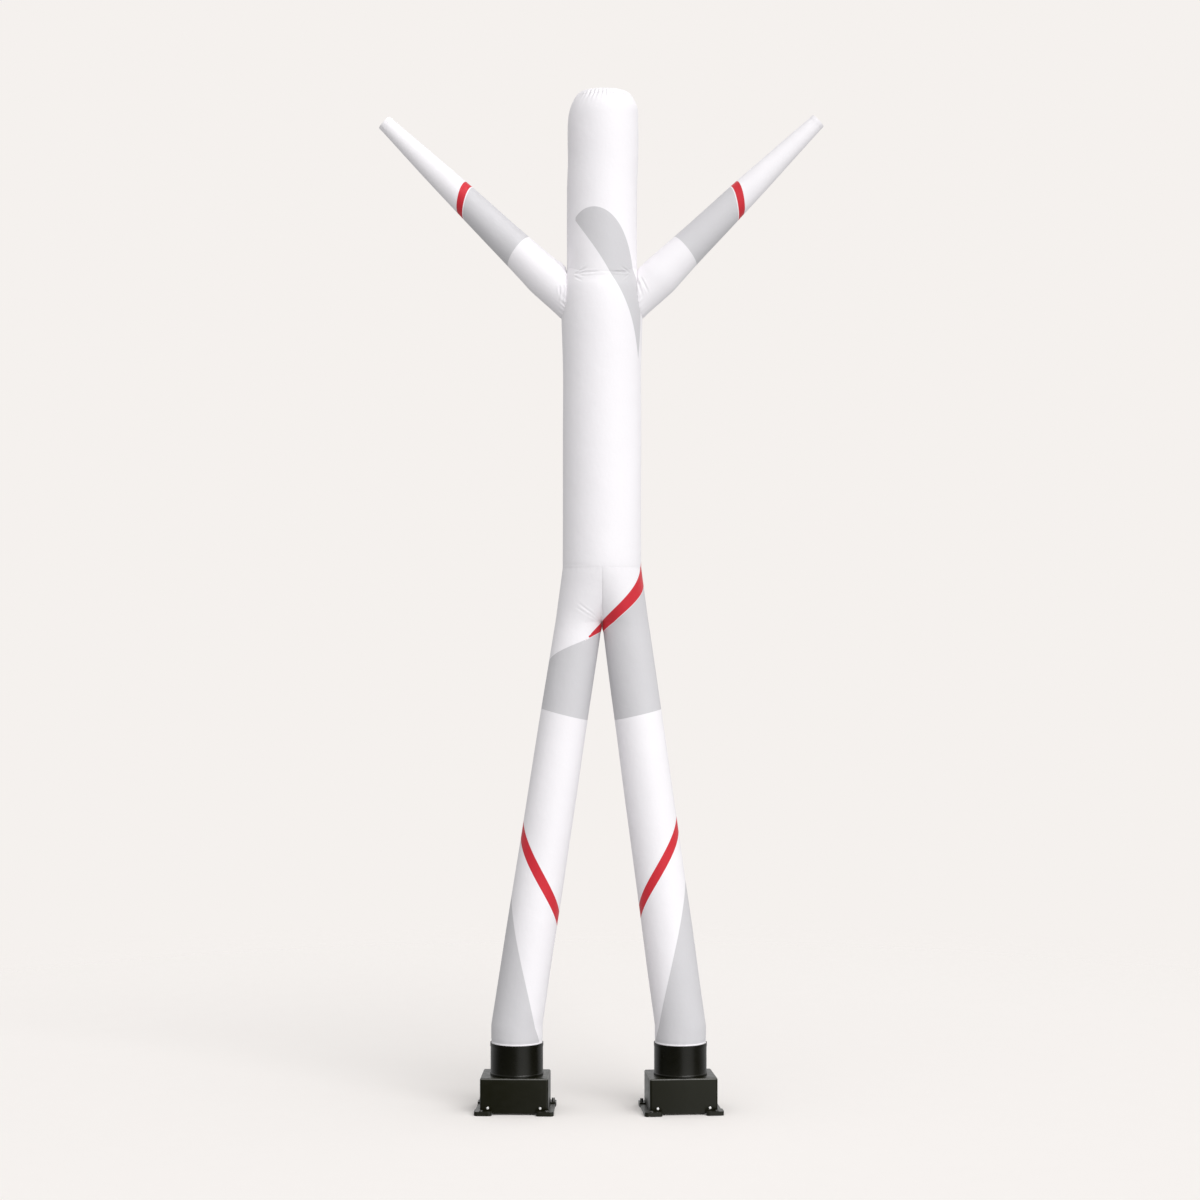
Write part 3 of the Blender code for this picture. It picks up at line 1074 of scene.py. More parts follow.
@dataclass
class Arm(ClothPiece):
    """A tapered sleeve that stands up and out from the side of the torso."""

    flat: tuple[float, float] = (0.745, 1.45)
    area: float = 0.78
    rests_on: tuple[str, ...] = ("torso",)
    columns: int = 192
    side: Side = Side.LEFT
    rise_degrees: float = 44.0
    root_x: float = 0.219
    root_z: float = 4.784
    length: float = 1.470
    root_radius: float = 0.112
    armhole_radius: float = 0.104
    mean_radius: float = 0.090
    root_reach: tuple[float, float] = (-0.149, 0.400)  # places where the root can meet the body
    hem: float = 0.022
    hem_rise: float = 0.0009  # how far the folded hem stands out
    hem_stitch: float = 0.009  # from the hem's upper edge down to where its stitches are counted from
    prints: ArmPrint | None = None
    creases: list[Crease] = field(default_factory=list)

    @property
    def axes(self) -> tuple[Array, Array, Array]:
        """The root, the way outwards along the arm, and the way up across it."""
        sign, rise = float(self.side.value), math.radians(self.rise_degrees)
        root = np.array([sign * self.root_x, 0.0, self.root_z])
        out = np.array([sign * math.cos(rise), 0.0, math.sin(rise)])
        over = np.array([-sign * math.sin(rise), 0.0, math.cos(rise)])
        return root, out, over

    def distance_from_axis(self, points: Array) -> Array:
        """How far points on this side lie from the arm's own axis.

        Args:
            points: points on the figure.

        Returns:
            A distance, made large for points on the other side.
        """
        root, out, _ = self.axes
        offset = points - root
        aside = offset - (offset @ out)[..., None] * out
        far = np.where(points[..., 0] * self.side.value > 0.0, 0.0, 10.0)
        return np.linalg.norm(aside, axis=-1) + far

    def surface(self, angle: Array, along: Array) -> Array:
        """Points on the sleeve, the angle counted from its front, up positive.

        Args:
            angle: angle round the tube, from its front.
            along: distance along the arm.

        Returns:
            A point for each pair.
        """
        root, out, over = self.axes
        radius = smooth_profile(ARM_PROFILE, along)[..., None]
        across = np.cos(angle)[..., None] * np.array([0.0, -1.0, 0.0])
        across = across + np.sin(angle)[..., None] * over
        return root + along[..., None] * out + radius * across

    def seam_on_body(self, angle: Array) -> Array:
        """How far along the arm its root meets the body, at each angle.

        Args:
            angle: angle round the tube, from its front.

        Returns:
            Distances from the arm's root.
        """
        near, far = (np.full_like(angle, end) for end in self.root_reach)
        for _ in range(40):
            middle = 0.5 * (near + far)
            point = self.surface(angle, middle)
            torso = smooth_profile(TORSO_PROFILE, point[..., 2])
            head = smooth_profile(HEAD_PROFILE, point[..., 2])
            body = np.where(point[..., 2] > NECK_Z, head, torso)
            inside = np.hypot(point[..., 0], point[..., 1]) < body + SEAM_GAP
            near, far = np.where(inside, middle, near), np.where(inside, far, middle)
        return far

    def shell(self) -> Shell:
        """The sleeve from its seam on the torso to its open, hemmed tip.

        Returns:
            The shell, with its prints and its distance from the seams.
        """
        angle = self.turn()
        start = self.seam_on_body(angle)
        seams = [0.0, 0.04, 0.08, 1.0]
        share = spaced(0.0, 1.0, far=0.0100, near=0.0024, seams=seams, reach=0.035)[:, None]
        along = start[None, :] + (self.length - start[None, :]) * share
        angle = angle[None, :] + 0.0 * along
        points = self.surface(angle, along)
        radius = smooth_profile(ARM_PROFILE, along)
        shell = Shell(self.name, points, angle * self.mean_radius, along)
        from_root, from_tip = along - start[None, :], self.length - along
        lift = Gathers(0.0022, 22, 31 + self.side.value, 0.035).lift(angle, from_root)
        lift -= tuck(from_root, 0.0016, 0.008)
        lift += 0.0010 * drift_field(angle, along, seed=7 + self.side.value, size=0.25)
        above_hem = from_tip - self.hem
        lift += self.hem_rise * eased(-above_hem / 0.002) - tuck(above_hem, reach=0.0025)
        lift += TIP_GATHERS.lift(angle, above_hem)
        lift += lift_by(self.creases, angle * radius, along)
        shell.lift(lift)
        shell.fields = self.prints.fields(angle, along)
        shell.fields["seam"] = np.minimum(from_root, above_hem + self.hem_stitch)
        return shell


@dataclass(frozen=True)
class HipStripe:
    """The red stripe that runs down across the hips from one side to the other thigh.

    Its edges are distances along a leg, against the angle from the leg's front.
    """

    # constant, slope and bend of each edge, and its last rise at the leg's side, on the
    # leg where the stripe starts
    upper: tuple[float, float, float, float] = (-0.1068, -0.1482, -0.0590, -0.0320)
    lower: tuple[float, float, float, float] = (-0.0479, -0.1210, -0.0284, 0.0)
    sharpness: float = 0.995
    # where it ends in a point on the other leg, as the angle's sine and the place along
    # the leg, and how its edges rise from there
    point: tuple[float, float] = (0.385, 0.0990)
    rise_upper: float = -0.2011
    rise_lower: float = -0.1015
    slant_share: float = 0.8  # of a distance along the leg that is distance across an edge

    def edges(self, angle: Array) -> tuple[Array, Array]:
        """The upper and the lower edge round the leg where the stripe starts.

        Args:
            angle: angle round the leg, from its front.

        Returns:
            Distances along the leg.
        """
        turn = folded_turn(angle, self.sharpness)
        side = np.maximum(turn, 0.0) ** 6
        return tuple(
            level + slope * turn + bend * turn**2 + rise * side
            for level, slope, bend, rise in (self.upper, self.lower)
        )

    def end_edges(self, angle: Array) -> tuple[Array, Array]:
        """The upper and the lower edge round the leg where the stripe ends."""
        past = np.sin(angle) - self.point[0]
        return self.point[1] + self.rise_upper * past, self.point[1] + self.rise_lower * past

    def field(self, points: Array, angle: Array) -> Array:
        """Distance inside the stripe on the torso and the leg where it starts.

        Args:
            points: points of the cloth.
            angle: angle round the tube, from its front.

        Returns:
            A distance for each point, negative outside.
        """
        along = along_leg(points, Side.RIGHT)
        upper, lower = self.edges(angle)
        inside = between(along, upper, lower) * self.slant_share
        return np.where(points[..., 0] > 0.0, inside, -1.0)

    def end_field(self, angle: Array, along: Array) -> Array:
        """Distance inside the stripe on the leg where it ends in a point."""
        upper, lower = self.end_edges(angle)
        return between(along, upper, lower) * self.slant_share


def leg_shares(height: Array) -> tuple[Array, Array]:
    """How far down a height lies from hip to crotch, and from crotch to ankle, as 0 to 1."""
    hip = np.clip((HIP_Z - height) / (HIP_Z - CROTCH_Z), 0.0, 1.0)
    return hip, np.clip((CROTCH_Z - height) / (CROTCH_Z - ANKLE_Z), 0.0, 1.0)


def leg_axis_x(side: Side, height: Array) -> Array:
    """How far the middle of a leg's section lies from the figure's middle."""
    base_x = abs(BASES[side].outlet_x)
    hip, down = leg_shares(height)
    return hip * THIGH_X + down * (base_x - THIGH_X)


def leg_radius(height: Array) -> Array:
    """Radius of a leg's section, half of the hip's circle closing to a round thigh."""
    hip, down = leg_shares(height)
    thigh = TORSO_RADIUS + hip * (THIGH_RADIUS - TORSO_RADIUS)
    return thigh + down**0.7 * (ANKLE_RADIUS - THIGH_RADIUS)


def depth_share(height: Array) -> Array:
    """How the depth of the hips is eased over the two bends in their profile.

    Args:
        height: heights on the torso or a leg.

    Returns:
        The factor on the depth at each height.
    """
    fine = np.linspace(HIP_Z - 0.8, HIP_Z + 0.25, 1051)
    weights = bell(np.linspace(-0.12, 0.12, 241), 0.050)
    wide = np.where(fine > HIP_Z, TORSO_RADIUS, leg_radius(fine))
    soft = np.convolve(np.pad(wide, 120, mode="edge"), weights / weights.sum(), mode="valid")
    return np.interp(height, fine, soft / wide, left=1.0, right=1.0)


def along_leg(points: Array, side: Side) -> Array:
    """Distance along a leg's axis, down from the crotch.

    Args:
        points: points of the cloth.
        side: which leg.

    Returns:
        A distance for each point, negative above the crotch.
    """
    base_x = abs(BASES[side].outlet_x)
    run = np.array([side.value * (base_x - THIGH_X), 0.0, ANKLE_Z - CROTCH_Z])
    start = np.array([side.value * THIGH_X, 0.0, CROTCH_Z])
    return (points - start) @ (run / np.linalg.norm(run))


@dataclass(frozen=True)
class LegPrint:
    """Where the bands of a leg's print lie, by distance along the leg.

    A pair is (distance, slant): the edge rises by the slant on the leg's outer side.
    thigh_top is the level, slope and bend of the edge against the angle outwards.
    """

    thigh_end: tuple[float, float]
    shin_start: tuple[float, float]
    shin_end: tuple[float, float]
    wedge: tuple[float, float]
    thigh_top: tuple[float, float, float] | None = None
    hem_band_z: float = 0.4090
    white_line: float = 0.003  # between the red stripe and the grey under it
    slant_share: float = 0.85  # of a distance along the leg that is distance across an edge


@dataclass
class Leg(ClothPiece):
    """One trouser leg, from the hip seam to the hem in its outlet."""

    flat: tuple[float, float] = (0.95, 2.83)
    area: float = 2.45
    rests_on: tuple[str, ...] = ()
    columns: int = 216
    side: Side = Side.LEFT
    prints: LegPrint | None = None
    gap: float = 0.0002  # left to the middle between the legs, where they meet
    finer_inside: float = 0.30  # share by which the columns stand closer on the inner side
    lean: float = 0.062  # how far under the crotch the legs still touch
    drawn_in: float = 0.029  # height above the hem where the cloth is drawn in
    creases: list[Crease] = field(default_factory=list)

    def section(self, height: Array) -> tuple[Array, Array, Array]:
        """Axis, radius and half the angle left open towards the other leg."""
        axis, radius = leg_axis_x(self.side, height), leg_radius(height)
        return axis, radius, np.arccos(np.minimum(1.0, (axis - self.gap) / radius))

    def closing(self, height: Array, axis: Array, radius: Array) -> Array:
        """How far the inner side leans on the other leg just under the crotch."""
        apart = np.maximum(axis - radius - self.gap, 0.0)
        return apart * eased((height - CROTCH_Z + self.lean) / 0.030)

    def shell(self) -> Shell:
        """The leg from the hip seam down to the hem.

        Returns:
            The shell, with its prints and its distance from the seams.
        """
        seams = [HEM_Z, HIP_Z, CROTCH_Z, CROTCH_Z + 0.08]
        height = spaced(HEM_Z, HIP_Z, far=0.0200, near=0.0040, seams=seams, reach=0.060)
        height = np.unique(np.append(height[np.abs(height - CROTCH_Z) > 0.004], CROTCH_Z))[::-1]
        axis, radius, opening = self.section(height)
        share = np.linspace(0.0, 1.0, self.columns + 1)[None, :]
        share = share - self.finer_inside * np.sin(math.tau * share) / math.tau
        inwards = opening[:, None] + (math.tau - 2.0 * opening[:, None]) * share
        sign = float(self.side.value)
        x = axis[:, None] - radius[:, None] * np.cos(inwards)
        x = sign * (x - self.closing(height, axis, radius)[:, None] * eased((np.cos(inwards) - 0.75) / 0.25))
        y = radius[:, None] * np.sin(inwards) * depth_share(height)[:, None]
        points = np.stack([x, y, np.broadcast_to(height[:, None], x.shape)], axis=-1)
        angle = np.arctan2(x - sign * axis[:, None], -y)
        along = along_leg(points, self.side)
        joined = height <= CROTCH_Z + 1e-6
        down = np.broadcast_to(height[:, None], x.shape)
        around = (share - 0.5) * (math.tau - 2.0 * opening[:, None]) * radius[:, None]
        shell = Shell(self.name, points, around, down, joined)
        shell.lift(self.relief(angle, along, down, points, radius[:, None]))
        shell.fields = self.printed(shell.points, angle, along)
        shell.fields["seam"] = np.minimum(HIP_Z - down, self.from_middle(points, down))
        return shell

    @staticmethod
    def from_middle(points: Array, height: Array) -> Array:
        """Distance from the seam between the legs, large where they are apart."""
        return np.where(height > CROTCH_Z, np.abs(points[..., 0]), 1.0)

    def relief(self, angle: Array, along: Array, height: Array, points: Array, radius: Array) -> Array:
        """Gathers at the hip, pulls round the crotch and the slow unevenness of the leg.

        Args:
            angle: angle round the tube, from its front.
            along: distance along the leg.
            height: height of each point.
            points: the smooth surface.
            radius: radius of each row.

        Returns:
            A height in metres for each point, none where the legs touch.
        """
        below, above = HIP_Z - height, height - HEM_Z
        lift = HIP_GATHERS.lift(angle, below)
        middle = self.from_middle(points, height)
        lift -= tuck(middle, reach=0.005)
        lift += 0.0008 * ripple(height * 9.0, 6, 15) * bell(middle, 0.020) * eased(below / 0.05)
        lift += 0.0014 * drift_field(angle, along, seed=11 + self.side.value, size=0.40)
        lift += HEM_GATHERS.lift(angle, above) * eased(above / 0.02)
        lift -= tuck(above - self.drawn_in, 0.0020, 0.0050)
        lift += lift_by(self.creases, angle * radius, along)
        touching = (height <= CROTCH_Z) & (height > CROTCH_Z - 0.05)
        return lift * (1.0 - np.where(touching, bell(points[..., 0], 0.014), 0.0))

    def printed(self, points: Array, angle: Array, along: Array) -> dict[str, Array]:
        """The bands of grey and red as distances inside their edges.

        Args:
            points: points of the leg.
            angle: angle round the tube, from its front.
            along: distance along the leg.

        Returns:
            Distances inside the edges of each colour.
        """
        outer = angle * float(self.side.value)
        marks = self.prints
        thigh_end = marks.thigh_end[0] - marks.thigh_end[1] * np.sin(outer)
        shin_start, shin_end, wedge = (
            edge[0] - edge[1] * sweep(outer, evenness)
            for edge, evenness in ((marks.shin_start, 0.85), (marks.shin_end, 0.85), (marks.wedge, 0.55))
        )
        stripe = HipStripe()
        if marks.thigh_top is None:
            hip = stripe.field(points, angle)
            thigh_top = stripe.edges(angle)[1]
        else:
            hip = stripe.end_field(angle, along)
            turn = folded_turn(outer)
            level, slope, bend = marks.thigh_top
            thigh_top = level + slope * turn + bend * turn * turn
            past = np.sin(angle) > stripe.point[0]
            thigh_top = np.where(past, stripe.end_edges(angle)[1], thigh_top)
        thigh = np.minimum(along - thigh_top - marks.white_line, thigh_end - along)
        above_hem = points[..., 2] - marks.hem_band_z
        return {
            "grey": np.maximum(thigh, np.minimum(along - wedge, above_hem)) * marks.slant_share,
            "red": np.maximum(hip, between(along, shin_start, shin_end) * marks.slant_share),
        }


# ---- hardware
class Part(Enum):
    """What the edit tools work on."""

    VERT = "verts"
    EDGE = "edges"
    FACE = "faces"


def start_piece() -> None:
    """Leaves edit mode and deselects everything."""
    if bpy.context.mode != "OBJECT":
        bpy.ops.object.mode_set(mode="OBJECT")
    bpy.ops.object.select_all(action="DESELECT")


def edit_piece(name: str) -> Piece:
    """Names the primitive just added, settles its place and opens it for editing.

    Args:
        name: the piece's name.

    Returns:
        The piece, in edit mode.
    """
    piece = bpy.context.active_object
    piece.name = piece.data.name = name
    bpy.ops.object.transform_apply(location=True, rotation=True, scale=True)
    bpy.ops.object.mode_set(mode="EDIT")
    bpy.ops.mesh.select_mode(type="VERT")
    return piece


def pick(piece: Piece, part: Part, test: object) -> None:
    """Selects the parts of the mesh that pass a test, and nothing else.

    Args:
        piece: the object in edit mode.
        part: what to select.
        test: tells whether one vertex, edge or face is wanted.
    """
    bpy.ops.mesh.select_mode(type=part.name)
    bpy.ops.mesh.select_all(action="DESELECT")
    shape = bmesh.from_edit_mesh(piece.data)
    for item in getattr(shape, part.value):
        item.select_set(bool(test(item)))
    bmesh.update_edit_mesh(piece.data)


def end_piece(piece: Piece, smooth_degrees: float = 35.0) -> Piece:
    """Makes the faces point outwards, closes edit mode and shades the piece.

    Args:
        piece: the object in edit mode.
        smooth_degrees: edges flatter than this are shaded smooth.

    Returns:
        The piece.
    """
    bpy.ops.mesh.select_all(action="SELECT")
    bpy.ops.mesh.remove_doubles(threshold=0.00002)
    bpy.ops.mesh.normals_make_consistent(inside=False)
    bpy.ops.object.mode_set(mode="OBJECT")
    bpy.ops.object.shade_smooth_by_angle(angle=math.radians(smooth_degrees))
    return piece


def copy_to(piece: Piece, place: Matrix, name: str) -> Piece:
    """A copy with its own mesh, moved to a place within its mesh.

    Args:
        piece: what is copied.
        place: where the copy goes.
        name: the copy's name.

    Returns:
        The copy.
    """
    copy = bpy.data.objects.new(name, piece.data.copy())
    copy.data.name = name
    copy.data.transform(place)
    bpy.context.scene.collection.objects.link(copy)
    return copy


def climbs(height: float) -> object:
    """A test for edges that climb more than a height."""
    return lambda edge: abs(edge.verts[0].co.z - edge.verts[1].co.z) > height


def looks_up(face: bmesh.types.BMFace) -> bool:
    """Whether a face lies flat and looks up."""
    return face.normal.z > 0.99


def soften(piece: Piece, test: object, offset: float, segments: int) -> None:
    """Bevels the edges that pass a test."""
    pick(piece, Part.EDGE, test)
    bpy.ops.mesh.bevel(offset=offset, segments=segments, affect="EDGES")


def start_cylinder(name: str, sides: int, radius: float, height: float, bottom: float = 0.0) -> Piece:
    """Adds an upright cylinder over the origin and opens it for editing.

    Args:
        name: the piece's name.
        sides: number of its sides.
        radius: its radius.
        height: its height.
        bottom: height of its lower end.

    Returns:
        The piece, in edit mode.
    """
    start_piece()
    place = (0.0, 0.0, bottom + height / 2.0)
    bpy.ops.mesh.primitive_cylinder_add(vertices=sides, radius=radius, depth=height, location=place)
    return edit_piece(name)


def at_height(height: float) -> object:
    """A test for edges that lie at one height."""
    return lambda edge: all(abs(vert.co.z - height) < 0.0001 for vert in edge.verts)


@dataclass(frozen=True)
class Finishes:
    """Every finish of the figure, made once."""

    cloth: Material
    paint: Material
    collar: Material
    screw: Material
    bolt: Material


@dataclass
class BlowerBase:
    """One blower box on two foot rails, with the round collar that holds the hem."""

    side: Side
    outlet_x: float
    overhang: float  # how much further out the box's middle lies than its outlet's
    turn_degrees: float
    width: float = 0.398
    depth: float = 0.313
    bottom_z: float = 0.0083
    top_z: float = 0.2125
    corner: float = 0.0130
    top_edge: float = 0.0090
    bottom_edge: float = 0.0025
    screw_x: float = 0.153
    screw_z: float = 0.0405
    foot_top: float = 0.0250

    # closed section of the collar: up its inner side, over the rim and down outside
    collar_section = [
        # radius, height
        (0.1495, 0.2128),
        (0.1495, 0.3745),
        (0.1515, 0.3785),
        (0.1530, 0.3825),
        (0.1530, 0.3987),
        (0.1537, 0.4001),
        (0.1549, 0.4005),
        (0.1558, 0.3997),
        (0.1560, 0.3980),
        (0.1560, 0.3825),
        (0.1556, 0.3795),
        (0.1548, 0.3755),
        (0.1543, 0.3735),
        (0.1543, 0.2290),
        (0.1547, 0.2272),
        (0.1561, 0.2258),
        (0.1566, 0.2242),
        (0.1566, 0.2140),
        (0.1560, 0.2129),
    ]
    collar_steps: int = 112

    @property
    def frame(self) -> Matrix:
        """The box's own axes in the figure's frame."""
        turn = Matrix.Rotation(math.radians(self.turn_degrees), 4, "Z")
        return Matrix.Translation((self.outlet_x + self.side.value * self.overhang, 0.0, 0.0)) @ turn

    @property
    def outlet(self) -> Matrix:
        """The outlet's own axes in the figure's frame."""
        return self.frame @ Matrix.Translation((-self.side.value * self.overhang, 0.0, 0.0))

    def node(self, name: str) -> str:
        """The name of one of this base's nodes."""
        return f"base_{self.side.label}_{name}"

    def settle(self, piece: Piece, node: str, finish: Material) -> None:
        """Puts a finished piece on the figure in place of its node.

        Args:
            piece: the finished piece.
            node: the node that it stands for.
            finish: its material.
        """
        piece.data.materials.clear()
        piece.data.materials.append(finish)
        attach(piece, BODY)
        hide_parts(node)
        LOG.info("%s: %d faces for %s", piece.name, len(piece.data.polygons), node)

    def make_housing(self) -> Piece:
        """The box, with rounded corners and a soft edge round its lid.

        Returns:
            The piece.
        """
        start_piece()
        height = self.top_z - self.bottom_z
        bpy.ops.mesh.primitive_cube_add(
            size=1.0,
            location=(0.0, 0.0, self.bottom_z + height / 2.0),
            scale=(self.width, self.depth, height),
        )
        box = edit_piece(self.node("box"))
        soften(box, climbs(height / 2.0), self.corner, 6)
        soften(box, at_height(self.top_z), self.top_edge, 5)
        soften(box, at_height(self.bottom_z), self.bottom_edge, 2)
        end_piece(box)
        box.data.transform(self.frame)
        return box

    def make_collar(self) -> Piece:
        """The outlet collar, its section drawn point by point and spun round.

        Returns:
            The piece.
        """
        start_piece()
        radius, height = self.collar_section[0]
        bpy.ops.mesh.primitive_plane_add(size=0.01, location=(radius, 0.0, height))
        collar = edit_piece(self.node("collar"))
        bpy.ops.mesh.select_all(action="SELECT")
        bpy.ops.mesh.merge(type="CENTER")
        last = Vector((radius, 0.0, height))
        for radius, height in self.collar_section[1:] + self.collar_section[:1]:
            place = Vector((radius, 0.0, height))
            bpy.ops.mesh.extrude_region_move(TRANSFORM_OT_translate={"value": place - last})
            last = place
        bpy.ops.mesh.select_all(action="SELECT")
        bpy.ops.mesh.remove_doubles(threshold=0.00002)
        bpy.ops.mesh.select_all(action="SELECT")
        bpy.ops.mesh.spin(
            steps=self.collar_steps, angle=math.tau, center=(0.0, 0.0, 0.0), axis=(0.0, 0.0, 1.0)
        )
        end_piece(collar, 40.0)
        collar.data.transform(self.outlet)
        return collar

    def dress(self, finishes: Finishes) -> None:
        """Builds the base's pieces and gives every one its finish.

        Args:
            finishes: every finish of the figure.
        """
        for name in FEET:
            for slot in bpy.data.objects[self.node(name)].material_slots:
                slot.material = finishes.paint
        self.settle(self.make_housing(), self.node("housing"), finishes.paint)
        self.settle(self.make_collar(), self.node("outlet"), finishes.collar)
        for which, sign in (("a", -1.0), ("b", 1.0)):
            spot = (sign * self.screw_x, -self.depth / 2.0 - 0.0003, self.screw_z)
            place = self.frame @ Matrix.Translation(spot) @ Matrix.Rotation(math.pi / 2.0, 4, "X")
            node = self.node("screw_" + which)
            screw = copy_to(bpy.data.objects[ScrewPattern.name], place, node + "_head")
            self.settle(screw, node, finishes.screw)
        for name, sign, across, back, pattern in BOLT_PLACES:
            x = float(self.side.value) * sign * across
            place = self.frame @ Matrix.Translation((x, back, self.foot_top + 0.0003))
            node = self.node(name)
            bolt = copy_to(bpy.data.objects[pattern.name], place, node + "_head")
            self.settle(bolt, node, finishes.bolt)


@dataclass(frozen=True)
class ScrewPattern:
    """A domed screw head with a round recess, lying on the origin and facing up."""

    name: str = "screw_pattern"
    radius: float = 0.0078
    height: float = 0.0042

    def make(self) -> Piece:
        """Models the head once.

        Returns:
            The pattern, which is removed once it is copied.
        """
        head = start_cylinder(self.name, 24, self.radius, self.height)
        soften(head, at_height(self.height), self.height * 0.62, 4)
        pick(head, Part.FACE, looks_up)
        bpy.ops.mesh.inset(thickness=self.radius * 0.34, depth=0.0003)
        bpy.ops.mesh.inset(thickness=self.radius * 0.06, depth=-0.0005)
        return end_piece(head, 30.0)


@dataclass(frozen=True)
class BoltPattern:
    """A hexagonal bolt head on its round washer, standing on the origin."""

    name: str
    head_height: float
    head_radius: float = 0.0102
    washer_radius: float = 0.0125
    washer_height: float = 0.0028
    chamfer: float = 0.0011  # of the head's upper corners
    edge: float = 0.0005  # how far the other edges are taken off

    def make(self) -> Piece:
        """Models the washer and the head on it, each with its edges taken off.

        Returns:
            The pattern, which is removed once it is copied.
        """
        washer = start_cylinder("washer", 36, self.washer_radius, self.washer_height)
        for height in (0.0, self.washer_height):
            soften(washer, at_height(height), self.edge, 2)
        end_piece(washer, 40.0)
        head = start_cylinder(self.name, 6, self.head_radius, self.head_height, self.washer_height)
        pick(head, Part.FACE, looks_up)
        bpy.ops.mesh.inset(thickness=self.head_radius * 0.10, depth=0.0)
        on_top = at_height(self.washer_height + self.head_height)
        long = self.head_radius * 0.93  # only the edges of the rim are longer
        pick(head, Part.EDGE, lambda edge: on_top(edge) and edge.calc_length() > long)
        bpy.ops.transform.translate(value=(0.0, 0.0, -self.chamfer))
        soften(head, climbs(self.head_height / 2.0), self.edge, 2)
        end_piece(head, 25.0)
        washer.select_set(True)
        head.select_set(True)
        bpy.context.view_layer.objects.active = head
        bpy.ops.object.join()
        return bpy.data.objects[self.name]


FEET = ("foot_outer", "foot_inner")
LOW_BOLT = BoltPattern("low_bolt_pattern", 0.0045)
TALL_BOLT = BoltPattern("tall_bolt_pattern", 0.0155)
BOLT_PLACES = [
    # name, sign (1 is on the base's outer side), distance along X, place along Y, head
    ("bolt_front_outer", 1, 0.190, -0.1735, LOW_BOLT),
    ("bolt_front_inner", -1, 0.190, -0.1735, LOW_BOLT),
    ("bolt_back_outer", 1, 0.2145, 0.150, TALL_BOLT),
    ("bolt_back_inner", -1, 0.2145, 0.150, TALL_BOLT),
]


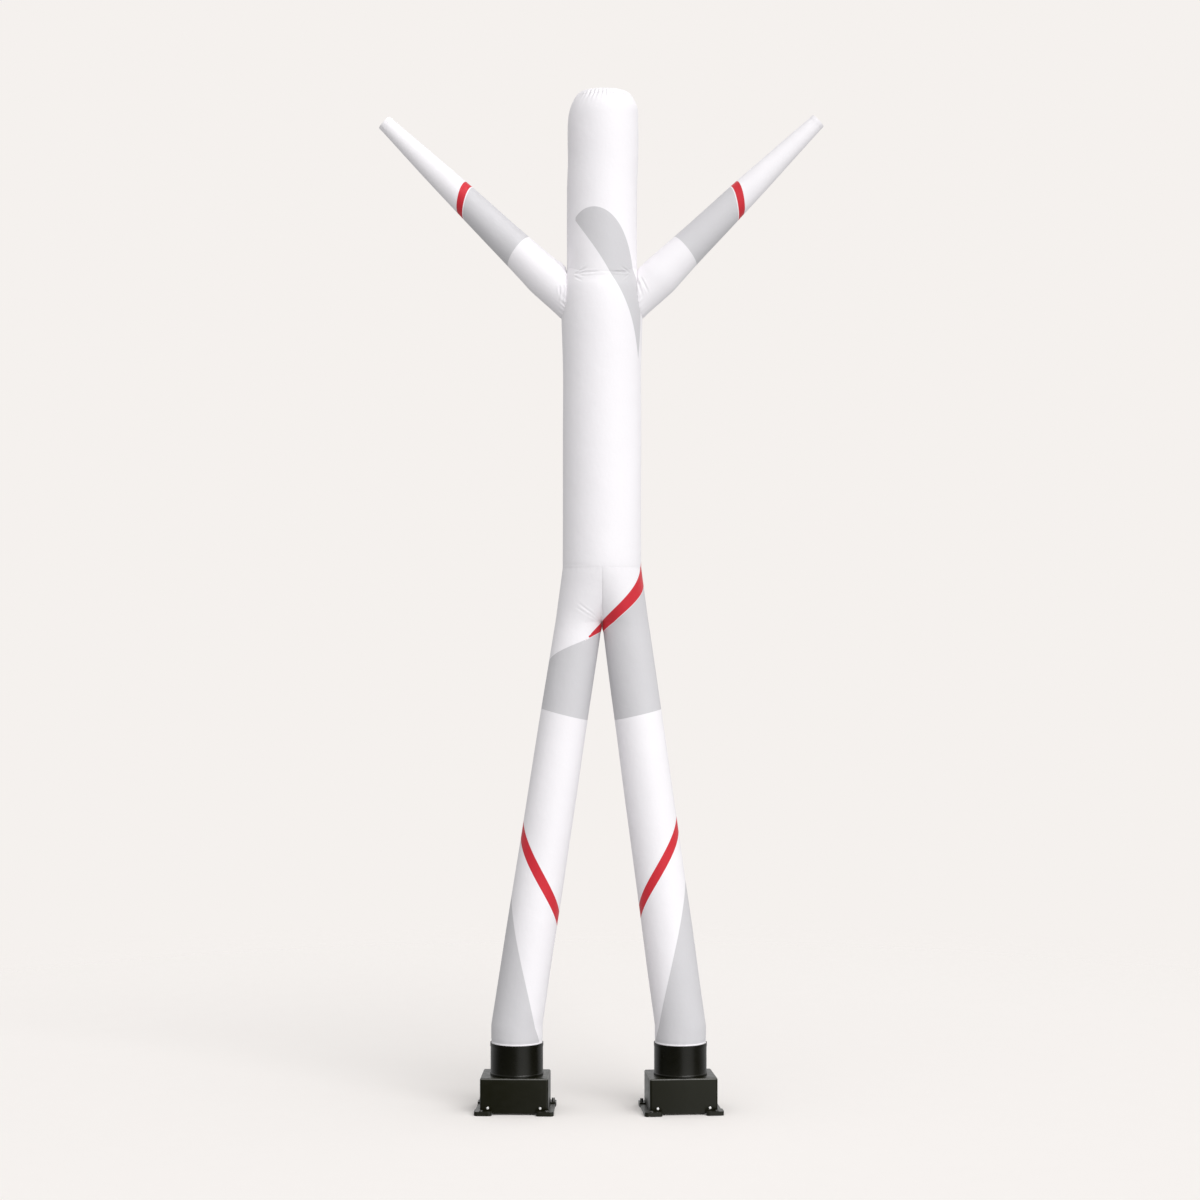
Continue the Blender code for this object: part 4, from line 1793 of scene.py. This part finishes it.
# ---- studio
@dataclass(frozen=True)
class Studio:
    """A pale floor that runs out into the background, a soft sky and a soft lamp."""

    background: tuple = colour(0.913, 0.880, 0.855)
    floor_colour: tuple = colour(0.945, 0.911, 0.886)
    floor_radius: float = 9.0
    floor_fade: tuple[float, float] = (4.5, 8.8)
    sky_base: float = 0.545
    sky_tilt: float = 0.148
    sky_key: tuple[float, float] = (0.14, 0.450)  # where the brighter side starts, and its strength
    key_azimuth: float = 31.0  # of the brighter side, from the front towards +X
    key_height: float = 29.0
    gloss_back: tuple[float, float, float, float] = (-0.2, 0.5, 0.12, 0.56)
    gloss_key: tuple[float, float, float, float] = (0.80, 0.99, 0.0, 1.15)
    gloss_top: tuple[float, float, float, float] = (0.0, 0.25, 0.0, 0.45)
    gloss_lamp: tuple[float, float, float, float] = (0.90, 0.985, 0.0, 6.0)
    gloss_lamp_place: tuple[float, float] = (42.0, 55.0)  # azimuth and height of the soft box
    lamp_azimuth: float = 30.0
    lamp_height: float = 40.0
    lamp_strength: float = 1.107
    lamp_softness: float = 40.0
    camera_place: tuple[float, float, float] = (-0.01175, -14.83, 2.997)
    camera_lens: float = 75.69

    def make_camera(self) -> None:
        """The camera, level and square to the front."""
        data = bpy.data.cameras.new("camera")
        data.lens = self.camera_lens
        data.sensor_width = 36.0
        data.clip_end = 100.0
        camera = bpy.data.objects.new("camera", data)
        camera.location = self.camera_place
        camera.rotation_euler = (math.pi / 2.0, 0.0, 0.0)
        bpy.context.scene.collection.objects.link(camera)
        bpy.context.scene.camera = camera

    def make_floor(self) -> None:
        """A plain pale disc whose rim fades into the background."""
        start_piece()
        bpy.ops.mesh.primitive_circle_add(vertices=96, radius=self.floor_radius, fill_type="NGON")
        floor = bpy.context.active_object
        floor.name = floor.data.name = "floor"
        graph = Graph(bpy.data.materials.new("studio_floor"))
        place = graph.add("TexCoord").outputs["Object"]
        fade = graph.step(graph.vector("LENGTH", place), *self.floor_fade)
        body = graph.shade(self.floor_colour, graph.patches(6.0, 2.0, (0.997, 1.0)))
        graph.finish(Base_Color=body, Roughness=0.9, Specular_IOR_Level=0.0)
        clear = graph.add("BsdfTransparent").outputs[0]
        mixed = graph.add("MixShader", {0: fade, 1: graph.shader.outputs[0], 2: clear})
        graph.feed(graph.output.inputs["Surface"], mixed.outputs[0])
        floor.data.materials.append(graph.owner)
        floor.visible_diffuse = floor.visible_glossy = False

    @staticmethod
    def direction(azimuth: float, height: float) -> Vector:
        """The way to a place in the sky, from its degrees round and up."""
        azimuth, height = math.radians(azimuth), math.radians(height)
        level = math.cos(height)
        return Vector((level * math.sin(azimuth), -level * math.cos(azimuth), math.sin(height)))

    def gloss(self, graph: Graph, place: Socket) -> Socket:
        """What shines in gloss: a pale back, a dim front, and soft boxes aside and above.

        Args:
            graph: the sky's node tree.
            place: the way looked, as a unit vector.

        Returns:
            The strength of the light from there.
        """
        _, back, up = graph.add("SeparateXYZ", {0: place}).outputs
        level = graph.vector("NORMALIZE", graph.vector("MULTIPLY", place, (1.0, 1.0, 0.0)))
        towards, near = (
            graph.vector("DOT_PRODUCT", way, self.direction(*to))
            for way, to in ((level, (self.key_azimuth, 0.0)), (place, self.gloss_lamp_place))
        )
        total = 0.0
        for value, (low, high, dim, bright) in (
            (back, self.gloss_back),
            (towards, self.gloss_key),
            (up, self.gloss_top),
            (near, self.gloss_lamp),
        ):
            total = graph.maths("ADD", graph.step(value, low, high, (dim, bright)), total)
        return total

    def make_sky(self) -> None:
        """Light from all round, with a broad brighter side, behind a plain backdrop."""
        world = bpy.data.worlds.new("sky")
        bpy.context.scene.world = world
        graph = Graph(world)
        place = graph.add("TexCoord").outputs["Generated"]
        key = self.direction(self.key_azimuth, self.key_height)
        towards = graph.vector("DOT_PRODUCT", place, key)
        even = graph.maths("MULTIPLY_ADD", towards, self.sky_tilt, self.sky_base)
        broad = graph.step(towards, self.sky_key[0], 1.0, (0.0, self.sky_key[1]))
        even = graph.maths("ADD", even, broad)
        seen = graph.add("LightPath").outputs
        shown = graph.add("Background", {"Color": colour(1.0, 1.0, 1.0), "Strength": even}).outputs[0]
        layers = (
            ("Is Glossy Ray", colour(1.0, 1.0, 1.0), self.gloss(graph, place)),
            ("Is Camera Ray", self.background, 1.0),
        )
        for ray, tint, strength in layers:
            layer = graph.add("Background", {"Color": tint, "Strength": strength}).outputs[0]
            shown = graph.add("MixShader", {0: seen[ray], 1: shown, 2: layer}).outputs[0]
        graph.tree.nodes.remove(graph.shader)
        graph.feed(graph.output.inputs["Surface"], shown)

    def make_lamp(self) -> None:
        """One broad, soft lamp high on the right, in front."""
        data = bpy.data.lights.new("soft_lamp", "SUN")
        data.energy = self.lamp_strength
        data.angle = math.radians(self.lamp_softness)
        lamp = bpy.data.objects.new("soft_lamp", data)
        tilt = math.radians(90.0 - self.lamp_height)
        lamp.rotation_euler = (tilt, 0.0, math.radians(self.lamp_azimuth))
        bpy.context.scene.collection.objects.link(lamp)

    def make(self) -> None:
        """Sets the whole studio up."""
        bpy.context.scene.view_settings.view_transform = "Standard"
        self.make_camera()
        self.make_floor()
        self.make_sky()
        self.make_lamp()


# ---- the figure
BASES: dict[Side, BlowerBase] = {
    Side.LEFT: BlowerBase(Side.LEFT, outlet_x=-0.5007, overhang=0.007, turn_degrees=-1.8),
    Side.RIGHT: BlowerBase(Side.RIGHT, outlet_x=0.4605, overhang=0.002, turn_degrees=5.2),
}
ARMS: dict[Side, Arm] = {
    Side.LEFT: Arm(
        name="cloth_arm_left",
        node="arm_left",
        side=Side.LEFT,
        rise_degrees=43.9,
        prints=ArmPrint(
            grey_start=(0.3715, 0.0115, 0.0220),
            ring_start=(0.7860, 0.0440, 0.0240),
            ring_end=(0.8320, 0.0430, 0.0270),
        ),
        creases=[
            Crease((0.0131, 0.0528), (-0.0234, 0.0146), 0.0050, 0.0026, 0.8),
            Crease((0.0321, 0.0343), (-0.0502, -0.0264), 0.0055, 0.0030, 0.8),
            Crease((0.1860, 0.1050), (0.1860, 0.1750), 0.0300, -0.0090, 0.0),
            Crease((0.1400, 0.1560), (0.1440, 0.0880), 0.0085, 0.0190, 0.2),
            Crease((0.1448, 0.0940), (0.1150, 0.0550), 0.0080, 0.0170, 0.2),
        ],
    ),
    Side.RIGHT: Arm(
        name="cloth_arm_right",
        node="arm_right",
        side=Side.RIGHT,
        rise_degrees=44.4,
        prints=ArmPrint(
            grey_start=(0.3765, 0.0095, 0.0120),
            ring_start=(0.7765, 0.0525, 0.0200),
            ring_end=(0.8230, 0.0510, 0.0250),
        ),
        creases=[
            Crease((0.0703, 0.0744), (-0.0350, 0.0402), 0.0050, 0.0024, 0.8),
            Crease((0.0919, 0.0571), (-0.0252, 0.0020), 0.0055, 0.0030, 0.8),
            Crease((0.1426, 0.1435), (0.1174, 0.1719), 0.0070, 0.0040),
        ],
    ),
}
CLOTHES: list[ClothPiece] = [
    Crown(
        name="cloth_crown",
        node="crown",
        flat=(0.33, 0.33),
        area=0.0855,
        rests_on=("head_tube",),
        columns=352,
    ),
    HeadTube(
        name="cloth_head",
        node="head_tube",
        flat=(1.30, 1.03),
        area=1.30,
        rests_on=("torso",),
        columns=352,
        finer_front=0.15,
    ),
    Torso(
        name="cloth_torso",
        node="torso",
        flat=(1.50, 1.75),
        area=2.53,
        rests_on=("leg_left", "leg_right"),
        columns=320,
        finer_front=0.30,
        creases=[
            Crease((0.1351, 3.2900), (0.2807, 3.2834), 0.0080, 0.0012),
            Crease((-0.3014, 3.3014), (-0.1727, 3.2759), 0.0080, 0.0012),
            Crease((-0.3010, 3.2040), (-0.0710, 3.2020), 0.0070, 0.0008),
        ],
    ),
    *ARMS.values(),
    Leg(
        name="cloth_leg_left",
        node="leg_left",
        rests_on=("base_left_outlet",),
        side=Side.LEFT,
        prints=LegPrint(
            thigh_end=(0.5480, 0.0130),
            shin_start=(1.4510, 0.2508),
            shin_end=(1.5450, 0.2423),
            wedge=(2.0900, 0.4450),
            thigh_top=(0.1257, 0.1133, 0.0088),
        ),
        creases=[
            Crease((-0.0599, -0.1150), (0.1072, -0.0400), 0.0046, 0.0011, 0.7),
            Crease((-0.0444, -0.0800), (0.1067, -0.0280), 0.0044, 0.0009, 0.7),
        ],
    ),
    Leg(
        name="cloth_leg_right",
        node="leg_right",
        rests_on=("base_right_outlet",),
        side=Side.RIGHT,
        prints=LegPrint(
            thigh_end=(0.5480, 0.0130),
            shin_start=(1.4136, 0.2451),
            shin_end=(1.5000, 0.2395),
            wedge=(2.0050, 0.4680),
        ),
    ),
]


def make_finishes() -> Finishes:
    """Makes every finish of the figure once.

    Returns:
        The finishes.
    """
    return Finishes(
        cloth=ClothFinish().material(),
        # the box coat lays a painted highlight on its rounded top edges
        paint=PaintFinish(
            "black_coat", colour(0.0065, 0.0066, 0.0012), (0.28, 0.36), 0.24, bend_share=0.48
        ).material(),
        collar=PaintFinish("collar_coat", colour(0.0038, 0.0036, 0.0008), (0.27, 0.33), 0.26).material(),
        screw=SteelFinish("bright_steel", colour(0.960, 0.955, 0.940), (0.28, 0.36), 0.35).material(),
        bolt=SteelFinish("plated_steel", colour(0.200, 0.196, 0.188), (0.26, 0.38)).material(),
    )


def main() -> None:
    """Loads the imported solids, dresses them and sets up the studio."""
    logging.basicConfig(level=logging.INFO, format="%(name)s: %(message)s")
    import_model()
    finishes = make_finishes()
    for clothing in CLOTHES:
        clothing.dress(finishes.cloth)
    patterns = [pattern.make() for pattern in (ScrewPattern(), LOW_BOLT, TALL_BOLT)]
    for base in BASES.values():
        base.dress(finishes)
    for pattern in patterns:
        bpy.data.objects.remove(pattern)
    Studio().make()


if __name__ == "__main__":
    main()
